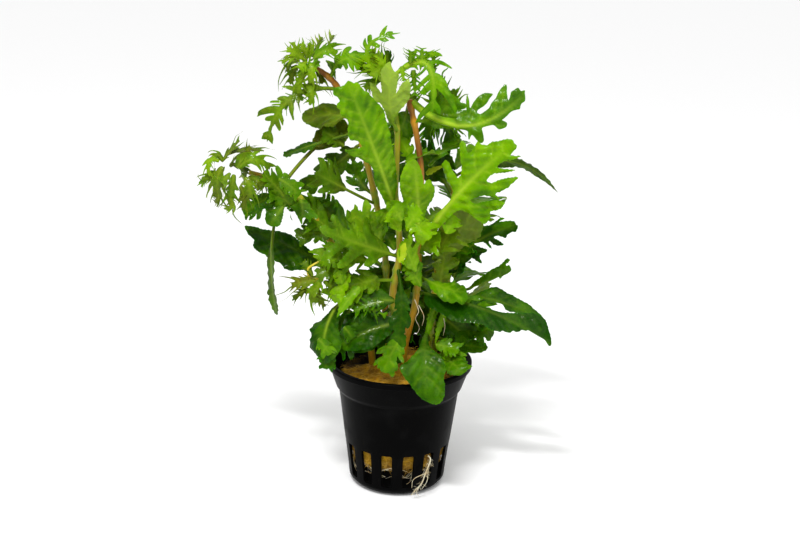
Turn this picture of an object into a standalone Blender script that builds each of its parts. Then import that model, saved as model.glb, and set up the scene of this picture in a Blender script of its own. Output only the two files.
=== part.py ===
"""Water wisteria in its pot: rooted stems with lobed leaves, a plug of rock wool and a slotted pot.

+Z is up and the front is -Y. The origin is the centre of the pot's foot, on the ground.
The sizes below are in millimetres, and the model is in metres.
"""

import math

import bmesh
import bpy
import numpy as np

MM = 0.001
GAP = 0.3

# The pot: a lip, a collar under it, a wall that narrows to the foot, and a ring of slots.
POT_HEIGHT = 49.5
LIP_RADIUS = 27.5
LIP_HEIGHT = 2.1
COLLAR_TOP_RADIUS = 26.8
COLLAR_FOOT_RADIUS = 24.1
COLLAR_FOOT_Z = 39.5
WALL_TOP_RADIUS = 22.9
WALL_TOP_Z = 38.0
FOOT_RADIUS = 18.1
FOOT_ROUND = 4.0
WALL = 1.0
SLOTS = 15
CELLS_PER_SLOT = 4
SLOT_BOTTOM = 4.0
SLOT_TOP = 17.6
FIRST_SLOT_DEG = 12.5

# The rock wool: a plug that fills the pot from above the slots' foot to just under the lip.
WOOL_BOTTOM = 10.5
WOOL_TOP = 45.5
WOOL_CLEARANCE = 0.6
WOOL_SIDES = 24
RIDGE_HEIGHT = 0.7
HOLLOW_DEPTH = 2.6
HOLLOW_RADIUS = 9.5
HOLLOW_X = -12
HOLLOW_Y = 8
SOCKET_DEPTH = 7.0
SOCKET_GAP = 3 * GAP

# Every stem: radius at its foot and its top, then the points that its middle runs through.
STEMS = {
    "stem_red_centre": (1.4, 1.0, [
        (1, 2, 39), (2, 0, 55), (5, -1, 70), (6, -2, 82), (6, -3, 97), (6, -4, 122), (4, -4, 136),
        (1, -4, 149)]),
    "stem_front": (1.5, 0.9, [
        (-2, -5, 39), (-3, -5, 62), (-3, -7, 79), (-1, -9, 95), (-3, -7, 115), (-3, -5, 138),
        (-7, -4, 160)]),
    "stem_upper_left": (1.4, 0.9, [
        (-5, 6, 39), (-6, 5, 63), (-6, 5, 83), (-8, 4, 99), (-12, 3, 117), (-17, 1, 136),
        (-25, -2, 153), (-33, -4, 160)]),
    "stem_left": (1.4, 0.9, [
        (-9, -2, 39), (-13, -2, 65), (-21, -3, 85), (-28, -5, 99), (-33, -7, 107), (-40, -9, 116),
        (-49, -11, 121), (-55, -12, 123)]),
    "stem_low_left_shoot": (1.1, 0.8, [(-23, -5, 83), (-27, -8, 85), (-31, -11, 83)]),
    "stem_right": (1.5, 1.1, [(9, 4, 39), (11, 4, 55), (12, 3, 66), (13, 2, 78), (14, 2, 92)]),
    "stem_right_back": (1.3, 0.9, [
        (12, 12, 39), (15, 12, 58), (17, 12, 69), (18, 12, 84), (20, 12, 103), (17, 13, 116),
        (15, 13, 127)]),
}
STEMS_IN_THE_WOOL = [name for name in STEMS if name != "stem_low_left_shoot"]

# The root that hangs out through a slot, in the same form.
ROOTS = {
    "root_hanging_outside": (0.5, 0.35, [
        (11.7, -15.8, 16.5), (12.5, -17.8, 15.5), (11, -19.8, 11), (8.5, -20, 6), (6.3, -19.8, 2.2)]),
}

# A leaf's stalk, as half of its width and of its depth, how fast it flattens into the blade, and the
# blade's depth above and below its rim.
STALK = 0.7
STALK_DEPTH = 0.5
STALK_FADE = 3
BLADE_UP = 0.25
BLADE_DOWN = 0.35

# The outline of each kind of leaf: the stalk's share of the length, where the blade is widest, how blunt
# it is, the middle part's share of the width, how far the sides lean to the tip, and the lobes. A lobe is
# its place along the blade, its reach on the left and on the right as shares of the width, and half of its
# breadth.
KINDS = {
    "spoon": dict(stalk=0.14, widest=0.66, blunt=1.3, share=1.0, lean=0.25, lobes=[]),
    "oval": dict(stalk=0.14, widest=0.5, blunt=1.3, share=1.0, lean=0.2, lobes=[]),
    "lance": dict(stalk=0.12, widest=0.4, blunt=1.6, share=1.0, lean=0.3, lobes=[]),
    "stalked": dict(stalk=0.45, widest=0.55, blunt=1.2, share=1.0, lean=0.3, lobes=[]),
    "three_lobed": dict(stalk=0.2, widest=0.55, blunt=1.2, share=0.5, lean=0.9, lobes=[
        (0.36, 0.95, 0.85, 0.15)]),
    "stalked_lobed": dict(stalk=0.55, widest=0.5, blunt=1.2, share=0.45, lean=0.5, lobes=[
        (0.2, 0.5, 0.7, 0.1), (0.45, 0.6, 0.8, 0.1), (0.7, 0.5, 0.6, 0.1)]),
    "lobed": dict(stalk=0.14, widest=0.6, blunt=1.1, share=0.5, lean=0.6, lobes=[
        (0.15, 0.35, 0.4, 0.08), (0.38, 0.6, 0.55, 0.1), (0.62, 0.6, 0.6, 0.1), (0.83, 0.4, 0.35, 0.07)]),
    "pinnate": dict(stalk=0.1, widest=0.6, blunt=1.0, share=0.35, lean=0.65, lobes=[
        (0.12, 0.5, 0.7, 0.06), (0.28, 0.6, 0.7, 0.07), (0.45, 0.7, 0.7, 0.08), (0.63, 0.65, 0.7, 0.08),
        (0.81, 0.5, 0.5, 0.07)]),
    "large_lobed": dict(stalk=0.16, widest=0.72, blunt=0.9, share=0.5, lean=0.6, lobes=[
        (0.16, 0.15, 0.6, 0.06), (0.3, 0.55, 0.85, 0.07), (0.48, 0.6, 0.3, 0.05), (0.62, 0.4, 0.75, 0.08),
        (0.86, 0.3, 0.3, 0.06)]),
    "arching": dict(stalk=0.35, widest=0.8, blunt=0.9, share=0.35, lean=0.6, lobes=[
        (0.1, 0.9, 0.0, 0.04), (0.27, 0.9, 0.8, 0.09), (0.57, 0.7, 0.55, 0.08), (0.84, 0.5, 0.35, 0.08)]),
    "centre": dict(stalk=0.22, widest=0.6, blunt=1.1, share=0.5, lean=0.85, lobes=[
        (0.14, 0.95, 0.5, 0.08), (0.38, 0.7, 0.6, 0.09), (0.6, 0.5, 0.55, 0.08), (0.81, 0.3, 0.3, 0.07)]),
    "fine": dict(stalk=0.1, widest=0.5, blunt=0.9, share=0.25, lean=0.8, lobes=[
        (0.15, 0.6, 0.55, 0.05), (0.33, 0.8, 0.7, 0.06), (0.52, 0.75, 0.8, 0.06), (0.7, 0.6, 0.6, 0.06),
        (0.86, 0.35, 0.4, 0.05)]),
    "young": dict(stalk=0.05, widest=0.45, blunt=1.1, share=1.0, lean=0.2, lobes=[]),
}
LOBE_ROUND = 2.5
LOBE_BLUNT = 0.6
LOBE_SHOULDER = 0.6
LOBE_VARIATION = 0.2
PLAIN_STATIONS = [0.0, 0.1, 0.27, 0.45, 0.63, 0.8, 0.93, 1.0]
YOUNG_STATIONS = [0.0, 0.4, 0.8, 1.0]
CLOSE_STATIONS = 0.06

# Every leaf: its stem, how high on it, the middle and the tip of its midrib, the way its upper side faces,
# half of its width, its kind, and how far its sides rise for each millimetre outwards.
LEAVES = {
    "leaf_top_pale_underside": (
        "stem_front", 139, (-6, -11, 151), (-5, -12, 165), (0.1, 1, 0.2), 8, "three_lobed", 0.1),
    "leaf_top_arching_right": (
        "stem_front", 157, (7, -8, 162), (9, -12, 145), (0, -1, 0.3), 7, "fine", 0.1),
    "leaf_top_curled": (
        "stem_front", 154, (-14, -10, 167), (-2, -9, 173), (-0.3, -1, 0.5), 3.5, "fine", 0.1),
    "leaf_right_arching": (
        "stem_red_centre", 147, (22, -8, 141), (41, -6, 152), (-0.1, -1, 0.4), 9, "arching", 0.0),
    "leaf_behind_red_stem": (
        "stem_red_centre", 146, (-1, 1, 139), (-4, 4, 130), (-0.3, -1, 0), 4, "oval", 0.1),
    "leaf_lobed_behind_arch": (
        "stem_red_centre", 141, (11, 3, 142), (18, 5, 149), (0, -1, 0.4), 7, "lobed", 0.1),
    "leaf_large_front": (
        "stem_front", 112, (-11, -17, 134), (-20, -21, 157), (-0.1, -1, 0.35), 8.5, "spoon", 0.1),
    "leaf_olive_upper_left": (
        "stem_upper_left", 141, (-27, 5, 141), (-38, 8, 139), (0, -0.6, 0.8), 5, "spoon", 0.1),
    "leaf_dark_upper_left": (
        "stem_left", 118, (-32, 3, 130), (-21, 8, 137), (0, -0.8, 0.6), 5, "stalked", 0.1),
    "leaf_small_twig": (
        "stem_upper_left", 136, (-33, 0, 131), (-44, -2, 127), (0, -0.4, 1), 2.2, "stalked", 0.1),
    "leaf_dark_diagonal": (
        "stem_upper_left", 131, (-24, 5, 124), (-38, 2, 113), (0.4, -0.8, 0.5), 4, "lobed", 0.1),
    "leaf_left_long_stalk": (
        "stem_upper_left", 110, (-20, -3, 115), (-32, -6, 122), (0, -0.6, 0.8), 7, "stalked_lobed", 0.1),
    "leaf_behind_large": (
        "stem_upper_left", 113, (-17, 8, 117), (-19, 13, 123), (0, -1, 0.2), 4, "pinnate", 0.1),
    "leaf_upper_left_running_right": (
        "stem_upper_left", 156, (-22, -6, 163), (-15, -7, 161), (0, -0.7, 0.6), 4, "lobed", 0.1),
    "leaf_upper_left_drooping": (
        "stem_upper_left", 153, (-41, -11, 149), (-49, -9, 133), (-0.3, -1, 0.3), 4.5, "fine", 0.1),
    "leaf_left_bright": (
        "stem_left", 115, (-44, -17, 110), (-47, -19, 105), (-0.2, -0.9, 0.5), 4.7, "spoon", 0.1),
    "leaf_left_toothed": (
        "stem_left", 118, (-52, -9, 111), (-58, -8, 107), (0, -0.8, 0.6), 4, "lobed", 0.1),
    "leaf_left_bright_inner": (
        "stem_left", 113, (-36, -13, 111), (-36, -16, 105), (0.2, -0.9, 0.4), 5, "lobed", 0.1),
    "leaf_left_hanging": (
        "stem_left", 110, (-48, -13, 90), (-46, -16, 71), (-1, 0, 0.3), 4, "lobed", 0.2),
    "leaf_left_dark_glossy": (
        "stem_left", 86, (-41, 0, 92), (-59, 2, 99), (0, -0.25, 1), 7, "oval", 0.1),
    "leaf_left_pinnate": (
        "stem_front", 93, (-17, -18, 100), (-28, -21, 105), (0, -0.8, 0.6), 11, "pinnate", 0.1),
    "leaf_left_pinnate_lower": (
        "stem_front", 83, (-16, -14, 83), (-25, -18, 78), (0, -0.8, 0.7), 6.5, "lobed", 0.1),
    "leaf_low_left_curled": (
        "stem_left", 77, (-26, -18, 70), (-28, -22, 53), (-0.4, -0.7, 0.6), 7.5, "spoon", 0.1),
    "leaf_low_front": (
        "stem_front", 71, (-12, -12, 66), (-21, -14, 59), (0, -0.8, 0.6), 7.5, "oval", 0.1),
    "leaf_low_centre": (
        "stem_front", 87, (0, -17, 70), (-4, -19, 52), (0, -1, 0.3), 4.7, "lance", 0.1),
    "leaf_low_behind": (
        "stem_right", 84, (0, 10, 76), (-9, 14, 70), (0, -0.9, 0.4), 6, "lobed", 0.1),
    "leaf_centre_front": (
        "stem_red_centre", 98, (5, -14, 115), (3, -22, 133), (-0.05, -1, 0.2), 10, "centre", 0.1),
    "leaf_over_rim": (
        "stem_right", 57, (9, -20, 63), (10, -33, 45), (0, -0.9, 0.6), 7.5, "stalked", 0.1),
    "leaf_right_large": (
        "stem_red_centre", 97, (19, -16, 118), (35, -22, 136), (-0.25, -0.9, 0.4), 13.5, "large_lobed", 0.1),
    "leaf_right_bronze": (
        "stem_right", 85, (18, -3, 98), (28, -4, 107), (0.2, 0.9, 0.4), 7, "spoon", 0.1),
    "leaf_right_dark_lobed": (
        "stem_right_back", 84, (29, 10, 94), (44, 6, 102), (0, -0.6, 0.8), 9, "pinnate", 0.1),
    "leaf_right_dark_narrow": (
        "stem_right_back", 117, (39, 12, 124), (58, 14, 112), (0.2, -0.4, 1), 3.5, "lance", 0.1),
    "leaf_right_drooping": (
        "stem_red_centre", 77, (32, -14, 74), (55, -20, 64), (0.1, -0.7, 0.7), 6, "lance", 0.1),
    "leaf_right_drooping_back": (
        "stem_right", 75, (34, -4, 75), (53, -9, 69), (0.1, -0.6, 0.8), 5, "lance", 0.1),
    "leaf_right_narrow": (
        "stem_right_back", 73, (31, 9, 77), (41, 9, 83), (0, -0.8, 0.6), 3.5, "lobed", 0.1),
    "leaf_right_olive": (
        "stem_right_back", 62, (26, 5, 73), (34, 4, 79), (0, -0.6, -0.7), 3.3, "lobed", 0.1),
    "leaf_right_glossy": (
        "stem_red_centre", 83, (16, -10, 81), (24, -11, 80), (0, -0.5, 0.9), 5, "spoon", -0.2),
    "leaf_low_right": (
        "stem_right", 58, (23, -4, 57), (33, -6, 57), (0, -0.6, 0.8), 3.5, "oval", 0.1),
    "leaf_low_right_upper": (
        "stem_right", 62, (26, -3, 63), (35, -6, 62), (0, -0.6, 0.8), 5, "lobed", 0.1),
    "leaf_rim_right": (
        "stem_right", 51, (19, -12, 53), (23, -17, 50), (0, -0.6, 0.8), 4.3, "oval", 0.1),
    "leaf_dark_right_behind": (
        "stem_right_back", 113, (11, 8, 122), (4, 7, 128), (0, -1, 0.3), 6, "lobed", 0.1),
    "leaf_back_left": (
        "stem_upper_left", 84, (-22, 18, 92), (-36, 26, 100), (0, -0.5, 0.9), 8, "lobed", 0.1),
    "leaf_back_right": (
        "stem_right_back", 92, (27, 26, 102), (34, 40, 103), (0.2, 0.5, 0.9), 9, "pinnate", 0.1),
    "leaf_back_high": (
        "stem_upper_left", 124, (-12, 18, 132), (-14, 30, 134), (0, 0.4, 0.9), 8, "lobed", 0.1),
    "leaf_back_low": (
        "stem_right_back", 62, (10, 27, 72), (4, 40, 66), (0, 0.4, 0.9), 8, "spoon", 0.1),
}

# Every tuft of young leaves: the middle that they grow from, half of a leaf's width, and the leaves' tips.
TUFT_CORE = 1.3
YOUNG_RISE = 0.1
YOUNG_CUP = 0.1
YOUNG_FACE = (0, -3, 6)
YOUNG_LEAN = 0.3
TUFTS = {
    "young_leaves_upper_left": ((-36, -4, 162), 2.6, [
        (-26, -4, 171), (-31, -3, 171), (-40, -6, 168), (-45, -6, 160), (-42, -9, 153), (-34, -11, 149),
        (-40, 6, 163), (-44, -11, 166)]),
    "young_leaves_left": ((-58, -12, 124), 2.8, [
        (-71, -14, 117), (-58, -12, 136), (-49, -14, 132), (-58, -16, 110), (-66, -15, 112), (-69, -12, 128),
        (-62, -22, 121), (-61, -2, 122), (-52, -18, 117)]),
    "young_leaves_top": ((-9, -4, 163), 2.2, [
        (-16, -2, 157), (-18, -1, 168), (-6, -2, 169), (-2, -3, 165), (-14, 3, 166), (-8, 5, 163)]),
    "young_leaves_low_left": ((-34, -13, 83), 2.2, [
        (-41, -14, 82), (-39, -15, 75), (-29, -13, 75), (-37, -14, 89), (-33, -21, 80), (-35, -4, 79)]),
    "young_leaves_right": ((15, 13, 130.5), 1.8, [
        (10, 11, 133), (19, 11, 134), (15, 12, 139), (16, 20, 134)]),
}


def remove_old_objects():
    for old in list(bpy.data.objects):
        bpy.data.objects.remove(old, do_unlink=True)


def material(name, colour, roughness, metallic=0.0):
    made = bpy.data.materials.new(name)
    made.use_nodes = True
    shader = made.node_tree.nodes["Principled BSDF"]
    shader.inputs["Base Color"].default_value = (*colour, 1.0)
    shader.inputs["Roughness"].default_value = roughness
    shader.inputs["Metallic"].default_value = metallic
    return made


def place(name, data, made_of):
    """Puts a mesh or a curve into the scene as the object called name."""
    data.materials.append(made_of)
    placed = bpy.data.objects.new(name, data)
    bpy.context.scene.collection.objects.link(placed)
    return placed


def mesh_from(work, name, smooth=True):
    """Ends a bmesh in a mesh whose faces look outwards."""
    bmesh.ops.recalc_face_normals(work, faces=work.faces)
    mesh = bpy.data.meshes.new(name)
    work.to_mesh(mesh)
    work.free()
    if smooth:
        mesh.shade_smooth()
        mesh.set_sharp_from_angle(angle=math.radians(40))
    return mesh


def spun(profile, sides, first_deg):
    """Turns a profile of (radius, height) points about +Z, starting first_deg to the right of the front."""
    turn = math.radians(first_deg)
    work = bmesh.new()
    row = [work.verts.new((r * math.sin(turn) * MM, -r * math.cos(turn) * MM, z * MM)) for r, z in profile]
    edges = [work.edges.new(pair) for pair in zip(row, row[1:])]
    bmesh.ops.spin(work, geom=row + edges, cent=(0, 0, 0), axis=(0, 0, 1), angle=2 * math.pi, steps=sides)
    bmesh.ops.remove_doubles(work, verts=work.verts, dist=0.01 * MM)
    return work


def wall_radius(z):
    """Radius of the pot's outer wall at a height below its collar."""
    return FOOT_RADIUS + (WALL_TOP_RADIUS - FOOT_RADIUS) * z / WALL_TOP_Z


def degrees_from_front(point):
    return math.degrees(math.atan2(point.x, -point.y))


def build_pot(made_of):
    outside = [
        (0, 0),
        (FOOT_RADIUS - FOOT_ROUND, 0),
        (FOOT_RADIUS - 0.3 * FOOT_ROUND, 0.3 * FOOT_ROUND),
        (wall_radius(SLOT_BOTTOM), SLOT_BOTTOM),
        (wall_radius(SLOT_TOP), SLOT_TOP),
        (WALL_TOP_RADIUS, WALL_TOP_Z),
        (COLLAR_FOOT_RADIUS, COLLAR_FOOT_Z),
        (COLLAR_TOP_RADIUS, POT_HEIGHT - LIP_HEIGHT),
        (LIP_RADIUS, POT_HEIGHT - LIP_HEIGHT),
        (LIP_RADIUS, POT_HEIGHT),
    ]
    inside = [
        (COLLAR_TOP_RADIUS - WALL, POT_HEIGHT),
        (COLLAR_FOOT_RADIUS - WALL, COLLAR_FOOT_Z),
        (WALL_TOP_RADIUS - WALL, WALL_TOP_Z),
        (wall_radius(SLOT_TOP) - WALL, SLOT_TOP),
        (wall_radius(SLOT_BOTTOM) - WALL, SLOT_BOTTOM),
        (FOOT_RADIUS - FOOT_ROUND, WALL),
        (0, WALL),
    ]
    cell = 360 / (SLOTS * CELLS_PER_SLOT)
    work = spun(outside + inside, SLOTS * CELLS_PER_SLOT, FIRST_SLOT_DEG - cell)
    pitch = 360 / SLOTS

    def slot_number(point):
        """Which slot a point is in or on the rim of, or None on the ribs between them."""
        turned = (degrees_from_front(point) - FIRST_SLOT_DEG + pitch / 2) % 360
        number, within = divmod(turned, pitch)
        on_slot = abs(within - pitch / 2) < cell + 0.01
        return int(number) if on_slot and SLOT_BOTTOM - 0.01 < point.z / MM < SLOT_TOP + 0.01 else None

    cut = [face for face in work.faces if slot_number(face.calc_center_median()) is not None]
    bmesh.ops.delete(work, geom=cut, context="FACES")
    rims = {}
    for edge in work.edges:
        if edge.is_boundary:
            rims.setdefault(slot_number((edge.verts[0].co + edge.verts[1].co) / 2), []).append(edge)
    for rim in rims.values():
        bmesh.ops.bridge_loops(work, edges=rim)
    place("pot", mesh_from(work, "pot"), made_of)


def wool_lump(x, y):
    """Height of the wool's top over its mean, in millimetres: ridges, and a hollow at the back left."""
    ridge = np.sin(0.45 * x + 1.0) * np.cos(0.38 * y) + 0.7 * np.sin(0.9 * y - 0.6 * x)
    off_hollow = np.hypot(x - HOLLOW_X, y - HOLLOW_Y) / HOLLOW_RADIUS
    return RIDGE_HEIGHT * ridge - HOLLOW_DEPTH * np.exp(-off_hollow**2)


def build_wool(made_of):
    def inner(z):
        return wall_radius(z) - WALL - WOOL_CLEARANCE

    collar_inner = COLLAR_FOOT_RADIUS - WALL - WOOL_CLEARANCE
    profile = [
        (0, WOOL_BOTTOM),
        (0.6 * inner(WOOL_BOTTOM), WOOL_BOTTOM - 0.6),
        (inner(WOOL_BOTTOM) - 1.0, WOOL_BOTTOM),
        (inner(WOOL_BOTTOM + 2), WOOL_BOTTOM + 2),
        (inner(WALL_TOP_Z - 1), WALL_TOP_Z - 1),
        (collar_inner, WOOL_TOP - 3.5),
        (collar_inner - 0.8, WOOL_TOP - 0.8),
        (0.75 * collar_inner, WOOL_TOP),
        (0.45 * collar_inner, WOOL_TOP),
        (0, WOOL_TOP),
    ]
    work = spun(profile, WOOL_SIDES, 0)
    for vert in work.verts:
        if vert.co.z > (WOOL_TOP - 1.5) * MM:
            vert.co.z += wool_lump(vert.co.x / MM, vert.co.y / MM) * MM
    wool = place("rock_wool", mesh_from(work, "rock_wool"), made_of)

    sockets = bmesh.new()
    for name in STEMS_IN_THE_WOOL:
        foot_radius, _, points = STEMS[name]
        x, y, z = points[0]
        socket_radius = (foot_radius + SOCKET_GAP) * MM
        made = bmesh.ops.create_cone(
            sockets, cap_ends=True, segments=8, radius1=socket_radius, radius2=socket_radius,
            depth=2 * SOCKET_DEPTH * MM)
        lean = np.array(points[1], float) - points[0]
        rise = SOCKET_DEPTH - GAP
        for vert in made["verts"]:
            along = vert.co.z / MM + rise
            vert.co.x += (x + lean[0] / lean[2] * along) * MM
            vert.co.y += (y + lean[1] / lean[2] * along) * MM
            vert.co.z += (z + rise) * MM
    cutter = place("socket_cutter", mesh_from(sockets, "socket_cutter", smooth=False), made_of)
    cutter.hide_render = True
    cutter.display_type = "WIRE"
    hole = wool.modifiers.new("sockets", "BOOLEAN")
    hole.operation = "DIFFERENCE"
    hole.solver = "EXACT"
    hole.object = cutter


def smooth_path(points, per_span):
    """Points along a smooth curve through the given ones, a cubic for each span between two of them."""
    p = np.array(points, float)
    p = np.vstack([2 * p[0] - p[1], p, 2 * p[-1] - p[-2]])
    t = np.arange(per_span)[:, None] / per_span
    spans = []
    for a, b, c, d in zip(p, p[1:], p[2:], p[3:]):
        square = (2 * a - 5 * b + 4 * c - d) * t**2
        cube = (3 * b - a - 3 * c + d) * t**3
        spans.append(0.5 * (2 * b + (c - a) * t + square + cube))
    return np.vstack(spans + [p[-2:-1]])


def build_tube(name, radii, points, made_of, per_span, resolution):
    """A round tube through the points, which tapers from the first radius to the second."""
    path = smooth_path(points, per_span)
    curve = bpy.data.curves.new(name, "CURVE")
    curve.dimensions = "3D"
    curve.bevel_depth = MM
    curve.bevel_resolution = resolution
    curve.use_fill_caps = True
    line = curve.splines.new("POLY")
    line.points.add(len(path) - 1)
    for point, co, radius in zip(line.points, path, np.linspace(*radii, len(path))):
        point.co = (*(co * MM), 1)
        point.radius = radius
    line.use_smooth = True
    place(name, curve, made_of)


def point_on_stem(stem, height):
    """The stem's middle and its radius at a height."""
    foot, top, points = STEMS[stem]
    path = smooth_path(points, 4)
    middle = np.array([np.interp(height, path[:, 2], path[:, i]) for i in range(3)])
    share = np.interp(height, path[:, 2], np.linspace(0, 1, len(path)))
    return middle, foot + (top - foot) * share


def leaf_start(stem, height, middle):
    """Where a leaf's stalk begins: just clear of the stem's skin, on the side that the leaf goes to."""
    axis, radius = point_on_stem(stem, height)
    along_stem = point_on_stem(stem, height + 0.5)[0] - point_on_stem(stem, height - 0.5)[0]
    along_stem /= np.linalg.norm(along_stem)
    out = np.array(middle, float) - axis
    out -= along_stem * (out @ along_stem)
    return axis + out / np.linalg.norm(out) * (radius + GAP + STALK_DEPTH)


def midrib(start, middle, tip, face, t):
    """Places along a leaf's midrib, the directions of its upper and its left side there, and its length.

    The midrib is a parabola from the start through the middle to the tip. t is 0 at the start and 1 at
    the tip.
    """
    start, middle, tip, face = (np.array(given, float) for given in (start, middle, tip, face))
    pull = 2 * middle - (start + tip) / 2
    t = np.asarray(t, float)[..., None]
    places = start * (1 - t) ** 2 + pull * 2 * t * (1 - t) + tip * t**2
    along = (1 - t) * (pull - start) + t * (tip - pull)
    along /= np.linalg.norm(along, axis=-1, keepdims=True)
    up = face - along * (along @ face)[..., None]
    up /= np.linalg.norm(up, axis=-1, keepdims=True)
    length = np.linalg.norm(middle - start) + np.linalg.norm(tip - middle)
    return places, up, np.cross(up, along), length


def outline(kind, half_width, x, side, number):
    """Half of the blade's width at x, from 0 at the end of the stalk to 1 at the tip, side being 1 for left.

    A smooth bulge, widest at the kind's own place, and on it one rounded finger for each lobe. No two
    leaves have quite the same fingers, because each reach varies with the leaf's number.
    """
    rise, fall = kind["blunt"] * kind["widest"], kind["blunt"] * (1 - kind["widest"])
    bulge = x**rise * (1 - x) ** fall / (kind["widest"] ** rise * (1 - kind["widest"]) ** fall)
    width = kind["share"] * bulge
    for order, (place, left, right, breadth) in enumerate(kind["lobes"]):
        reach = left if side > 0 else right
        uneven = 1 + LOBE_VARIATION * np.sin(2.1 * order + 4.0 * side + 1.7 * number)
        finger = (1 - np.abs((x - place) / breadth).clip(0, 1) ** LOBE_ROUND) ** LOBE_BLUNT
        width = width + reach * uneven * finger
    return STALK * (1 - x) + half_width * width


def stations(kind):
    """Where the blade is cut across: a few even places, or the foot and the shoulders of each lobe."""
    if not kind["lobes"]:
        return np.array(PLAIN_STATIONS)
    places = [0.0]
    for middle, _, _, breadth in kind["lobes"]:
        foot = middle - breadth
        if foot - places[-1] < CLOSE_STATIONS:
            foot = (foot + places.pop()) / 2
        shoulder = LOBE_SHOULDER * breadth
        places += [foot, middle - shoulder, middle + shoulder, middle + breadth]
    return np.array([max(place, 0.0) for place in places] + [1.0])


def add_blade(work, start, middle, tip, face, half_width, kind, cup, number, x):
    """Adds one leaf to a mesh: a blade with a ridge along its midrib above and below, and a sharp rim."""
    t = np.concatenate([[0.0], kind["stalk"] + (1 - kind["stalk"]) * x])
    ridge, up, _, length = midrib(start, middle, tip, face, t)
    stalk_like = np.concatenate([[1.0], 1 - x])[:, None] ** STALK_FADE
    above = ridge + up * (BLADE_UP + (STALK_DEPTH - BLADE_UP) * stalk_like)
    below = ridge - up * (BLADE_DOWN + (STALK_DEPTH - BLADE_DOWN) * stalk_like)
    rims = {}
    for side in (-1, 1):
        half = np.concatenate([[STALK], outline(kind, half_width, x, side, number)])
        out = (half - STALK).clip(0)
        leaning = t + kind["lean"] * out / length
        on, up_there, across, _ = midrib(start, middle, tip, face, leaning)
        rims[side] = on + across * (side * half)[:, None] + up_there * (cup * out)[:, None]

    rows = []
    for corners in zip(above[:-1], rims[1][:-1], below[:-1], rims[-1][:-1]):
        rows.append([work.verts.new(corner * MM) for corner in corners])
    end = work.verts.new(ridge[-1] * MM)
    for near, far in zip(rows, rows[1:]):
        for middle_line in (0, 2):
            for rim in (1, 3):
                work.faces.new((near[middle_line], far[middle_line], far[rim]))
                work.faces.new((near[middle_line], far[rim], near[rim]))
    for middle_line in (0, 2):
        for rim in (1, 3):
            work.faces.new((rows[-1][middle_line], end, rows[-1][rim]))
    work.faces.new(rows[0])


def build_leaf(name, number, made_of):
    stem, height, middle, tip, face, half_width, kind_name, cup = LEAVES[name]
    kind = KINDS[kind_name]
    work = bmesh.new()
    start = leaf_start(stem, height, middle)
    add_blade(work, start, middle, tip, face, half_width, kind, cup, number, stations(kind))
    place(name, mesh_from(work, name, smooth=False), made_of)


def build_tuft(name, made_of):
    """Young leaves that all grow from one small core, joined to it by a Boolean union."""
    middle, half_width, tips = TUFTS[name]
    middle = np.array(middle, float)
    kind = KINDS["young"]
    places = np.array(YOUNG_STATIONS)
    core = bmesh.new()
    bmesh.ops.create_icosphere(core, subdivisions=1, radius=TUFT_CORE * MM)
    bmesh.ops.translate(core, verts=core.verts, vec=middle * MM)
    tuft = place(name, mesh_from(core, name, smooth=False), made_of)
    for number, tip in enumerate(tips):
        reach = np.array(tip, float) - middle
        arch = middle + 0.5 * reach + (0, 0, YOUNG_RISE * np.linalg.norm(reach))
        face = YOUNG_FACE - YOUNG_LEAN * reach * (1, 1, 0)
        blade = bmesh.new()
        add_blade(blade, middle, arch, tip, face, half_width, kind, YOUNG_CUP, number, places)
        cutter = place(name + "_%d" % number, mesh_from(blade, name, smooth=False), made_of)
        cutter.hide_render = True
        cutter.display_type = "WIRE"
        join = tuft.modifiers.new("young leaf %d" % number, "BOOLEAN")
        join.operation = "UNION"
        join.solver = "EXACT"
        join.object = cutter


def build():
    remove_old_objects()
    build_pot(material("black_plastic", (0.012, 0.012, 0.013), 0.4))
    build_wool(material("rock_wool", (0.42, 0.2, 0.04), 0.95))
    bark = material("stem_skin", (0.3, 0.16, 0.04), 0.45)
    for name, (foot, top, points) in STEMS.items():
        build_tube(name, (foot, top), points, bark, per_span=2, resolution=1)
    root_skin = material("root_skin", (0.8, 0.76, 0.62), 0.5)
    for name, (foot, top, points) in ROOTS.items():
        build_tube(name, (foot, top), points, root_skin, per_span=2, resolution=1)
    blade = material("leaf_blade", (0.1, 0.32, 0.01), 0.35)
    for number, name in enumerate(LEAVES):
        build_leaf(name, number, blade)
    young = material("young_leaf", (0.22, 0.36, 0.02), 0.4)
    for name in TUFTS:
        build_tuft(name, young)


build()
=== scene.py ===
# %% [markdown]
# # Water wisteria in its pot
#
# A bunch of rooted cuttings with lobed leaves stands in rock wool in a small slotted pot. The solids that
# the frame loads give each piece its place. The lesson puts a finer surface over each of them, worked out
# with numpy as a function of two parameters, and gives each a finish made from nodes.

# %% The frame
import math

import bmesh
import bpy
import numpy as np
from mathutils import Matrix, Vector
from mathutils.geometry import delaunay_2d_cdt


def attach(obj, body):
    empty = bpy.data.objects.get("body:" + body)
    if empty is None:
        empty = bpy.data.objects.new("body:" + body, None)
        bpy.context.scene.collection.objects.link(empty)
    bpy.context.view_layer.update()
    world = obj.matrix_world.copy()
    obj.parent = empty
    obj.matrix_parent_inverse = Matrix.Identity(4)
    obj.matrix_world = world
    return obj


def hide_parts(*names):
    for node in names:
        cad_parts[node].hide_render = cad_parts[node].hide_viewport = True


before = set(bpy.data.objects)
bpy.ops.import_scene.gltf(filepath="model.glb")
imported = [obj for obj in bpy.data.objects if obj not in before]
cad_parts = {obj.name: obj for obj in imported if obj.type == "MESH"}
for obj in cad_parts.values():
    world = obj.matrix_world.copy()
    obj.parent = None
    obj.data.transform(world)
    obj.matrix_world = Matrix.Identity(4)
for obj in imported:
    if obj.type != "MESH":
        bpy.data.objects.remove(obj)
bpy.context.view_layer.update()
MM = 0.001
print("solids in the frame:", len(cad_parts))

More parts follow.
